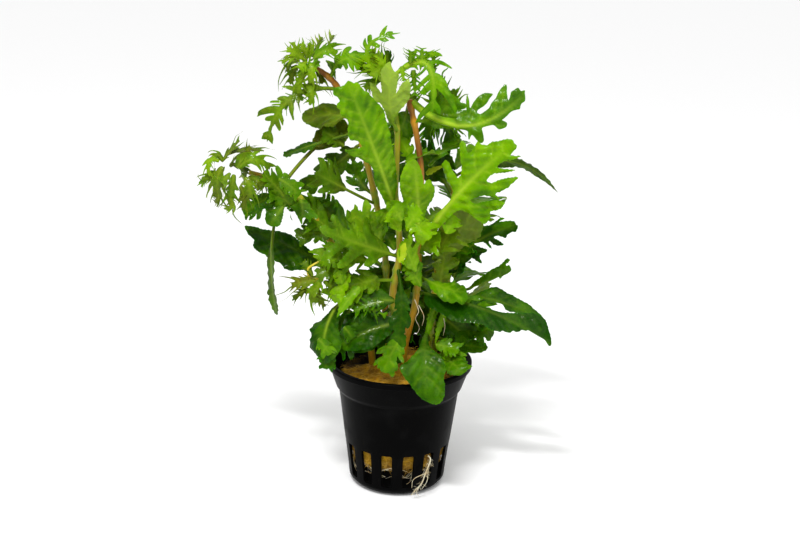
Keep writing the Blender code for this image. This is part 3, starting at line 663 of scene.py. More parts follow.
# %% Its hairs
def wool_hairs(count, seed):
    """Bent hairs on the plug: a start on its skin, a way to go along it, and a bend that grows as t^2."""
    random = np.random.default_rng(seed)
    on_top = random.random(count) < 0.6
    a = random.uniform(0, 2 * np.pi, count)
    high = random.uniform(WOOL_BOTTOM, WOOL_BOTTOM + 10, count)
    r = np.where(on_top, COLLAR_INNER * np.sqrt(random.random(count)) * 0.97, wool_side(high) * 0.985)
    x, y = r * np.sin(a), -r * np.cos(a)
    z = np.where(on_top, WOOL_TOP + wool_lump(x, y), high)
    out = np.stack([x / r, y / r, 0 * r], axis=1)
    normal = np.where(on_top[:, None], (0.0, 0.0, 1.0), out)
    way = random.normal(size=(count, 3))
    way = unit(way - normal * (way * normal).sum(axis=1, keepdims=True))
    bend = random.normal(size=(count, 3)) * 0.35
    bend -= normal * (bend * normal).sum(axis=1, keepdims=True) * 0.8
    length = random.uniform(1.5, 6.0, count)[:, None, None]
    t = np.linspace(-0.5, 0.5, 6)[None, :, None]
    start = np.stack([x, y, z], axis=1)[:, None] + normal[:, None] * 0.02
    paths = start + length * (way[:, None] * t + bend[:, None] * (t**2 - 0.1))
    rise = np.sin(np.pi * (t + 0.5)) * random.uniform(0.0, 0.5, count)[:, None, None]
    paths = paths + normal[:, None] * rise
    reach = np.hypot(paths[..., 0], paths[..., 1])
    limit = np.where(paths[..., 2] > WALL_TOP_Z, COLLAR_INNER, wall_radius(paths[..., 2]) - WALL - 0.25)
    paths[..., :2] *= np.minimum(1, limit / np.maximum(reach, 1e-9))[..., None]
    radii = random.uniform(0.04, 0.09, count)[:, None] * np.array([0.3, 1, 1, 1, 1, 0.3])
    points, faces, marks = tubes(paths, radii, 3, level=(0.3, 0.2, 1))
    tone = random.uniform(0.0, 0.75, count)
    marks["tone"] = np.repeat(tone, len(points) // count)
    # The hairs carry the same painted shade as the plug under them.
    deep = np.where(on_top, wool_painted_shade(x, y), SIDE_SHADE * random.uniform(0.6, 1.4, count))
    marks["deep"] = np.repeat(deep, len(points) // count)
    return points, faces, marks


hairs = build("rock_wool_fibres", wool_hairs(HAIRS, seed=5), ROCK_WOOL, ["rock_wool"])
print("hairs:", triangles_in([hairs]), "triangles")

# %% [markdown]
# ## The stems
#
# A cutting of this plant has a nearly square stem that swells at each node, where two leaves and later some
# roots grow out. Each stem is a tube along a smooth curve through a few points, and its radius grows by a
# small bell curve at the height of every leaf that it carries.
#
# The stems' points and the leaves' places repeat the ones in the CAD source, in millimetres. Those that
# the photograph shows were also read off it, with a guessed depth. The leaves called back are guesses.

# %% The stems' paths
# A stem's row is its radius at the foot and at the top, and the points that its middle goes through. Its
# redness goes from the first number at the foot to the second at the top.
STEMS = {
    "stem_red_centre": (1.4, 1.0, [
        (1, 2, 39), (2, 0, 55), (5, -1, 70), (6, -2, 82), (6, -3, 97), (6, -4, 122), (4, -4, 136),
        (1, -4, 149)]),
    "stem_front": (1.5, 0.9, [
        (-2, -5, 39), (-3, -5, 62), (-3, -7, 79), (-1, -9, 95), (-3, -7, 115), (-3, -5, 138),
        (-7, -4, 160)]),
    "stem_upper_left": (1.4, 0.9, [
        (-5, 6, 39), (-6, 5, 63), (-6, 5, 83), (-8, 4, 99), (-12, 3, 117), (-17, 1, 136),
        (-25, -2, 153), (-33, -4, 160)]),
    "stem_left": (1.4, 0.9, [
        (-9, -2, 39), (-13, -2, 65), (-21, -3, 85), (-28, -5, 99), (-33, -7, 107), (-40, -9, 116),
        (-49, -11, 121), (-55, -12, 123)]),
    "stem_low_left_shoot": (1.1, 0.8, [(-23, -5, 83), (-27, -8, 85), (-31, -11, 83)]),
    "stem_right": (1.5, 1.1, [(9, 4, 39), (11, 4, 55), (12, 3, 66), (13, 2, 78), (14, 2, 92)]),
    "stem_right_back": (1.3, 0.9, [
        (12, 12, 39), (15, 12, 58), (17, 12, 69), (18, 12, 84), (20, 12, 103), (17, 13, 116),
        (15, 13, 127)]),
}
REDNESS = {
    "stem_red_centre": (0.3, 0.95), "stem_front": (0.3, 0.0), "stem_upper_left": (0.2, 1.3),
    "stem_left": (0.15, 0.3), "stem_low_left_shoot": (-0.5, -0.6), "stem_right": (0.0, 0.0),
    "stem_right_back": (0.1, 0.4)}
FORKS = [[(-30, -11, 83.2), (-32, -13, 81.5), (-34, -14, 79)],
         [(-30.5, -11, 83), (-31, -13, 81), (-32, -14, 79.5)],
         [(-30, -11, 83.4), (-33, -13, 84.5), (-34, -14, 88), (-32, -14, 90), (-29, -13, 91.5)]]

# %% The leaves' table
# A kind's lobes are rows of place along the blade, reach on the left, reach on the right, and breadth.
# A leaf's row is its stem, the height on it, the midrib's middle and tip, the way its upper side faces,
# half of its width, its kind, and how far its sides rise for each millimetre outwards.
KINDS = {
    "spoon": dict(stalk=0.14, widest=0.66, blunt=1.3, share=1.0, lean=0.25, lobes=[]),
    "oval": dict(stalk=0.14, widest=0.5, blunt=1.3, share=1.0, lean=0.2, lobes=[]),
    "lance": dict(stalk=0.12, widest=0.4, blunt=1.6, share=1.0, lean=0.3, lobes=[]),
    "stalked": dict(stalk=0.45, widest=0.55, blunt=1.2, share=1.0, lean=0.3, lobes=[]),
    "three_lobed": dict(stalk=0.2, widest=0.55, blunt=1.2, share=0.5, lean=0.9, lobes=[
        (0.36, 0.95, 0.85, 0.15)]),
    "stalked_lobed": dict(stalk=0.55, widest=0.5, blunt=1.2, share=0.45, lean=0.5, lobes=[
        (0.2, 0.5, 0.7, 0.1), (0.45, 0.6, 0.8, 0.1), (0.7, 0.5, 0.6, 0.1)]),
    "lobed": dict(stalk=0.14, widest=0.6, blunt=1.1, share=0.5, lean=0.6, lobes=[
        (0.15, 0.35, 0.4, 0.08), (0.38, 0.6, 0.55, 0.1), (0.62, 0.6, 0.6, 0.1), (0.83, 0.4, 0.35, 0.07)]),
    "pinnate": dict(stalk=0.1, widest=0.6, blunt=1.0, share=0.35, lean=0.65, lobes=[
        (0.12, 0.5, 0.7, 0.06), (0.28, 0.6, 0.7, 0.07), (0.45, 0.7, 0.7, 0.08), (0.63, 0.65, 0.7, 0.08),
        (0.81, 0.5, 0.5, 0.07)]),
    "large_lobed": dict(stalk=0.16, widest=0.72, blunt=0.9, share=0.5, lean=0.6, lobes=[
        (0.16, 0.15, 0.6, 0.06), (0.3, 0.55, 0.85, 0.07), (0.48, 0.6, 0.3, 0.05), (0.62, 0.4, 0.75, 0.08),
        (0.86, 0.3, 0.3, 0.06)]),
    "arching": dict(stalk=0.35, widest=0.8, blunt=0.9, share=0.35, lean=0.6, lobes=[
        (0.1, 0.9, 0.0, 0.04), (0.27, 0.9, 0.8, 0.09), (0.57, 0.7, 0.55, 0.08), (0.84, 0.5, 0.35, 0.08)]),
    "centre": dict(stalk=0.22, widest=0.6, blunt=1.1, share=0.5, lean=0.85, lobes=[
        (0.14, 0.95, 0.5, 0.08), (0.38, 0.7, 0.6, 0.09), (0.6, 0.5, 0.55, 0.08), (0.81, 0.3, 0.3, 0.07)]),
    "fine": dict(stalk=0.1, widest=0.5, blunt=0.9, share=0.25, lean=0.8, lobes=[
        (0.15, 0.6, 0.55, 0.05), (0.33, 0.8, 0.7, 0.06), (0.52, 0.75, 0.8, 0.06), (0.7, 0.6, 0.6, 0.06),
        (0.86, 0.35, 0.4, 0.05)]),
    "lacy": dict(stalk=0.1, widest=0.5, blunt=0.9, share=0.14, lean=0.7, lobes=[
        (0.14, 0.5, 0.3, 0.035), (0.3, 0.55, 0.8, 0.04), (0.46, 0.95, 0.5, 0.04), (0.62, 0.6, 0.95, 0.045),
        (0.76, 0.85, 0.5, 0.045), (0.9, 0.4, 0.55, 0.04)]),
    "sharp": dict(stalk=0.08, widest=0.5, blunt=0.9, share=0.36, lean=1.2, lobes=[
        (0.2, 0.5, 0.35, 0.07), (0.36, 0.55, 0.7, 0.08), (0.52, 0.75, 0.5, 0.08), (0.68, 0.5, 0.7, 0.08),
        (0.83, 0.5, 0.4, 0.06)]),
}
LEAVES = {
    "leaf_top_pale_underside": (
        "stem_front", 139, (-6, -11, 151), (-5, -12, 165), (0.1, 1, 0.2), 8, "three_lobed", 0.1),
    "leaf_top_arching_right": (
        "stem_front", 157, (7, -8, 162), (9, -12, 145), (0, -1, 0.3), 7, "lacy", 0.1),
    "leaf_top_curled": (
        "stem_front", 154, (-14, -10, 167), (-2, -9, 173), (-0.3, -1, 0.5), 3.0, "lacy", 0.1),
    "leaf_right_arching": (
        "stem_red_centre", 147, (22, -8, 141), (41, -6, 152), (-0.1, -1, 0.4), 9, "arching", 0.0),
    "leaf_behind_red_stem": (
        "stem_red_centre", 146, (-1, 1, 139), (-4, 4, 130), (-0.3, -1, 0), 4, "oval", 0.1),
    "leaf_lobed_behind_arch": (
        "stem_red_centre", 141, (11, 3, 142), (18, 5, 149), (0, -1, 0.4), 7, "lobed", 0.1),
    "leaf_large_front": (
        "stem_front", 112, (-11, -17, 134), (-20, -21, 157), (-0.1, -1, 0.35), 8.5, "spoon", 0.1),
    "leaf_olive_upper_left": (
        "stem_upper_left", 141, (-27, 5, 141), (-38, 8, 139), (0, -0.6, 0.8), 5, "spoon", 0.1),
    "leaf_dark_upper_left": (
        "stem_left", 118, (-32, 3, 130), (-21, 8, 137), (0, -0.8, 0.6), 5, "stalked", 0.1),
    "leaf_small_twig": (
        "stem_upper_left", 136, (-33, 0, 131), (-44, -2, 127), (0, -0.4, 1), 2.2, "stalked", 0.1),
    "leaf_dark_diagonal": (
        "stem_upper_left", 131, (-24, 5, 124), (-38, 2, 113), (0.4, -0.8, 0.5), 4, "lobed", 0.1),
    "leaf_left_long_stalk": (
        "stem_upper_left", 110, (-20, -3, 115), (-32, -6, 122), (0, -0.6, 0.8), 7, "stalked_lobed", 0.1),
    "leaf_behind_large": (
        "stem_upper_left", 113, (-17, 8, 117), (-19, 13, 123), (0, -1, 0.2), 4, "pinnate", 0.1),
    "leaf_upper_left_running_right": (
        "stem_upper_left", 156, (-22, -6, 163), (-15, -7, 161), (0, -0.7, 0.6), 4, "lobed", 0.1),
    "leaf_upper_left_drooping": (
        "stem_upper_left", 153, (-41, -11, 149), (-49, -9, 133), (-0.3, -1, 0.3), 4.8, "lacy", 0.1),
    "leaf_left_bright": (
        "stem_left", 115, (-44, -17, 110), (-47, -19, 105), (-0.2, -0.9, 0.5), 4.7, "spoon", 0.1),
    "leaf_left_toothed": (
        "stem_left", 118, (-52, -9, 111), (-58, -8, 107), (0, -0.8, 0.6), 4, "lobed", 0.1),
    "leaf_left_bright_inner": (
        "stem_left", 113, (-36, -13, 111), (-36, -16, 105), (0.2, -0.9, 0.4), 5, "lobed", 0.1),
    "leaf_left_hanging": (
        "stem_left", 118, (-47, -14, 94), (-45, -16, 71), (-0.85, -0.55, 0.3), 2.8, "stalked", 0.2),
    "leaf_left_dark_glossy": (
        "stem_left", 86, (-41, 0, 92), (-59, 2, 99), (0, -0.6, 0.8), 7, "oval", 0.1),
    "leaf_left_pinnate": (
        "stem_front", 93, (-17, -18, 100), (-28, -21, 105), (0, -0.8, 0.6), 11, "pinnate", 0.1),
    "leaf_left_pinnate_lower": (
        "stem_front", 83, (-16, -14, 83), (-25, -18, 78), (0, -0.8, 0.7), 6.5, "lobed", 0.1),
    "leaf_low_left_curled": (
        "stem_left", 77, (-26, -18, 70), (-28, -22, 53), (-0.4, -0.7, 0.6), 7.5, "spoon", 0.1),
    "leaf_low_front": (
        "stem_front", 71, (-12, -12, 66), (-21, -14, 59), (0, -0.8, 0.6), 7.5, "oval", 0.1),
    "leaf_low_centre": (
        "stem_front", 87, (0, -17, 70), (-4, -19, 52), (0, -1, 0.3), 3.2, "lobed", 0.1),
    "leaf_low_behind": (
        "stem_right", 84, (0, 10, 76), (-9, 14, 70), (0, -0.9, 0.4), 6, "lobed", 0.1),
    "leaf_centre_front": (
        "stem_red_centre", 98, (5, -14, 115), (3, -22, 133), (-0.05, -1, 0.2), 10, "centre", 0.1),
    "leaf_over_rim": (
        "stem_right", 57, (9, -20, 63), (10, -33, 45), (0, -0.9, 0.6), 7.5, "stalked", 0.1),
    "leaf_right_large": (
        "stem_red_centre", 97, (19, -16, 118), (35, -22, 136), (-0.25, -0.9, 0.4), 13.5,
        "large_lobed", 0.1),
    "leaf_right_bronze": (
        "stem_right", 85, (18, -3, 98), (28, -4, 107), (0.2, 0.9, 0.4), 7, "spoon", 0.1),
    "leaf_right_dark_lobed": (
        "stem_right_back", 84, (29, 10, 94), (44, 6, 102), (0, -0.6, 0.8), 9, "pinnate", 0.1),
    "leaf_right_dark_narrow": (
        "stem_right_back", 117, (39, 12, 124), (58, 14, 112), (0.2, -0.4, 1), 3.5, "lance", 0.1),
    "leaf_right_drooping": (
        "stem_red_centre", 77, (32, -14, 74), (55, -20, 64), (0.1, -0.7, 0.7), 6, "lance", 0.1),
    "leaf_right_drooping_back": (
        "stem_right", 75, (34, -4, 75), (53, -9, 69), (0.1, -0.6, 0.8), 5, "lance", 0.1),
    "leaf_right_narrow": (
        "stem_right_back", 73, (31, 9, 77), (41, 9, 83), (0, -0.8, 0.6), 3.5, "lobed", 0.1),
    "leaf_right_olive": (
        "stem_right_back", 62, (26, 5, 73), (34, 4, 79), (0, -0.6, -0.7), 3.3, "lobed", 0.1),
    "leaf_right_glossy": (
        "stem_red_centre", 83, (16, -10, 81), (24, -11, 80), (0, -0.5, 0.9), 5, "spoon", -0.2),
    "leaf_low_right": (
        "stem_right", 58, (23, -4, 57), (33, -6, 57), (0, -0.6, 0.8), 3.5, "oval", 0.1),
    "leaf_low_right_upper": (
        "stem_right", 62, (26, -3, 63), (35, -6, 62), (0, -0.6, 0.8), 5, "lobed", 0.1),
    "leaf_rim_right": (
        "stem_right", 51, (19, -12, 53), (23, -17, 50), (0, -0.6, 0.8), 4.3, "oval", 0.1),
    "leaf_dark_right_behind": (
        "stem_right_back", 113, (11, 8, 122), (4, 7, 128), (0, -1, 0.3), 6, "lobed", 0.1),
    "leaf_back_left": (
        "stem_upper_left", 84, (-22, 18, 92), (-36, 26, 100), (0, -0.5, 0.9), 8, "lobed", 0.1),
    "leaf_back_right": (
        "stem_right_back", 92, (27, 26, 102), (34, 40, 103), (0.2, 0.5, 0.9), 9, "pinnate", 0.1),
    "leaf_back_high": (
        "stem_upper_left", 124, (-12, 18, 132), (-14, 30, 134), (0, 0.4, 0.9), 8, "lobed", 0.1),
    "leaf_back_low": (
        "stem_right_back", 62, (10, 27, 72), (4, 40, 66), (0, 0.4, 0.9), 8, "spoon", 0.1),
}
print("leaves:", len(LEAVES), "of", len(KINDS), "kinds")


# %% Stems as tubes with swollen nodes
def smooth_path(points, per_span):
    """A smooth curve through the points: for each span the cubic that leaves and meets its neighbours."""
    p = np.array(points, float)
    p = np.vstack([2 * p[0] - p[1], p, 2 * p[-1] - p[-2]])
    t = (np.arange(per_span) / per_span)[None, :, None]
    a, b, c, d = (p[i:len(p) - 3 + i][:, None] for i in range(4))
    spans = 0.5 * (2 * b + (c - a) * t + (2 * a - 5 * b + 4 * c - d) * t**2
                   + (3 * b - a - 3 * c + d) * t**3)
    return np.vstack([spans.reshape(-1, p.shape[1]), p[-2:-1]])


def tapered(points, per_span, thick, thin, sides, level):
    """One thin tube along a smooth curve, its radius going evenly from thick to thin."""
    path = smooth_path(points, per_span)
    return tubes(path[None], np.linspace(thick, thin, len(path))[None], sides, level=level)


NODE_SWELL = 0.32
NODE_LENGTH = 1.2
STEM_SIDES = 20


def stem_shape(name):
    """A stem's tube: radius = taper * (1 + swell * sum of bells at the heights where its leaves grow)."""
    foot, top, points = STEMS[name]
    path = smooth_path(points, 14)
    share = np.linspace(0, 1, len(path))
    heights = np.array([leaf[1] for leaf in LEAVES.values() if leaf[0] == name] or [1000.0])
    bells = np.exp(-(((path[:, 2:3] - heights) / NODE_LENGTH) ** 2)).max(axis=1)
    swollen = 0.94 + NODE_SWELL * bells + 0.03 * np.sin(9 * share * len(points))
    radius = (foot + (top - foot) * share) * swollen
    skin, faces, marks = tubes(path[None], radius[None], STEM_SIDES, level=(0, 1, 0), square=0.05)
    low, high = REDNESS[name]
    bells_all = np.concatenate([np.repeat(bells, STEM_SIDES), bells[[0, -1]]])
    shapes = [(skin, faces, {"redness": low + (high - low) * marks["along"] ** 2 - 0.2 * bells_all})]
    for fork in FORKS if name == "stem_low_left_shoot" else []:
        skin, faces, marks = tapered(fork, 8, 0.6, 0.3, 10, (0, 1, 0.3))
        shapes.append((skin, faces, {"redness": low - 0.1 * marks["along"]}))
    return joined(shapes)


stems = [build(name + "_skin", stem_shape(name), STEM_SKIN, [name]) for name in STEMS]
print("stems:", triangles_in(stems), "triangles")

# %% [markdown]
# ## The leaves
#
# A leaf is cut from a flat sheet and then given heights. In the sheet, a runs along the midrib and s across
# it, both in millimetres. Fifteen rims were traced in the photograph and one was given in millimetres; the
# others follow a formula, a smooth bulge with a rounded finger for each lobe. Saw teeth run along all of
# them. The rim is filled with a net of triangles, because lobes that lean forward over their neighbours
# can't be reached by the straight rows of a grid. Then each point of the net is carried onto the curved
# midrib as a function of a and s.

# %% The midrib
GAP = 0.3
STALK = 0.7
STALK_DEPTH = 0.5
STALK_FADE = 3
INTO_STEM = 1.2


def point_on_stem(stem, height):
    """The stem's middle and its radius at a height."""
    foot, top, points = STEMS[stem]
    path = smooth_path(points, 4)
    middle = np.array([np.interp(height, path[:, 2], path[:, i]) for i in range(3)])
    share = np.interp(height, path[:, 2], np.linspace(0, 1, len(path)))
    return middle, foot + (top - foot) * share


def leaf_start(stem, height, middle):
    """Where a stalk begins: on the side of the stem that the leaf goes to, square to the stem."""
    axis, radius = point_on_stem(stem, height)
    along_stem = unit(point_on_stem(stem, height + 0.5)[0] - point_on_stem(stem, height - 0.5)[0])
    out = np.array(middle, float) - axis
    out -= along_stem * (out @ along_stem)
    return axis + unit(out) * (radius + GAP + STALK_DEPTH)


def midrib(start, middle, tip, face, t):
    """A parabola from start through middle to tip, with the upper side's way and the left side's way."""
    start, middle, tip, face = (np.array(given, float) for given in (start, middle, tip, face))
    pull = 2 * middle - (start + tip) / 2
    t = np.asarray(t, float)[..., None]
    places = start * (1 - t) ** 2 + pull * 2 * t * (1 - t) + tip * t**2
    along = unit((1 - t) * (pull - start) + t * (tip - pull))
    up = unit(face - along * (along @ face)[..., None])
    length = np.linalg.norm(middle - start) + np.linalg.norm(tip - middle)
    return places, up, np.cross(up, along), length


# %% Rims from a formula
LOBE_ROUND = 2.5
LOBE_BLUNT = 0.6
FINE = np.linspace(0, 1, 1200)
PLAIN_LOOK = dict(tone=0.5, bronze=0.0, wave=1.1, waves=2.3, tooth=0.55, teeth=0.2, pitch=2.5, spread=0.5,
                  droop=0.0, pucker=0.32, uneven=0.25, stalk_half=STALK, pointed=False, pale=1.0,
                  rib=0.35, stalk_tone=0.0)


def outline(kind, half_width, side, number, look):
    """Half of the blade's width at each of FINE: a bulge x^a (1-x)^b, and a finger for each lobe.

    A finger is (1 - |u|^round)^blunt, u being the way from its middle over half of its breadth. A pointed
    one, on a young leaf, is 1 - |u|^1.4.
    """
    x = FINE
    rise, fall = kind["blunt"] * kind["widest"], kind["blunt"] * (1 - kind["widest"])
    bulge = x**rise * (1 - x) ** fall / (kind["widest"] ** rise * (1 - kind["widest"]) ** fall)
    width = kind["share"] * bulge
    for order, (place, left, right, breadth) in enumerate(kind["lobes"]):
        reach = left if side > 0 else right
        twist = 2.1 * order + 4.0 * side + 1.7 * number
        uneven = 1 + look["uneven"] * np.sin(twist)
        place = place + 0.12 * look["uneven"] * np.sin(1.7 * twist)
        u = np.abs((x - place) / (breadth * (1 + 0.8 * look["uneven"] * np.cos(twist)))).clip(0, 1)
        finger = 1 - u**1.4 if look["pointed"] else (1 - u**LOBE_ROUND) ** LOBE_BLUNT
        width = width + reach * uneven * finger
    return look["stalk_half"] * (1 - x) + half_width * width


def toothed(half, blade_length, height, pitch, number, side):
    """The outline with teeth: a saw along the rim's own length, sin(pi f^1.8), f going 0 to 1 in each."""
    rim = np.hypot(np.diff(half, prepend=half[0]), blade_length / len(FINE)).cumsum()
    phase = rim / pitch + 0.4 * np.sin(0.8 * rim / pitch + number) + 0.37 * number + 0.5 * side
    saw = np.sin(np.pi * (phase % 1) ** 1.8) * (0.75 + 0.5 * np.sin(1.3 * np.floor(phase) + number))
    room = np.clip(half / (3 * height), 0, 1) * np.clip((FINE - 0.04) / 0.08, 0, 1)
    return half + height * (saw - 0.35) * room * np.clip((1 - FINE) / 0.03, 0, 1)


def formula_rim(kind, length, half_width, number, look):
    """The rim as points (a, s): out from the outline, leant towards the tip by lean times the way out."""
    stalk, blade_length, halves = kind["stalk"], length * (1 - kind["stalk"]), []
    for side in (1, -1):
        half = outline(kind, half_width, side, number, look)
        half = toothed(half, blade_length, look["tooth"], look["pitch"], number, side).clip(0.03)
        u = half - look["stalk_half"]
        lean = kind["lean"] * u * (0.85 + 0.3 * u / max(half_width, 1))
        for place, left, right, breadth in kind["lobes"]:
            window = (1 - ((FINE - place) / (1.5 * breadth)) ** 2).clip(0) ** 2
            reach = half_width * max(left if side > 0 else right, 0.05)
            lean = lean + look["spread"] * blade_length * (FINE - place) * window * (u / reach).clip(0, 1)
        halves.append(np.stack([stalk * length + blade_length * FINE + lean, side * half], axis=1))
    return np.vstack([halves[0], halves[1][::-1]])


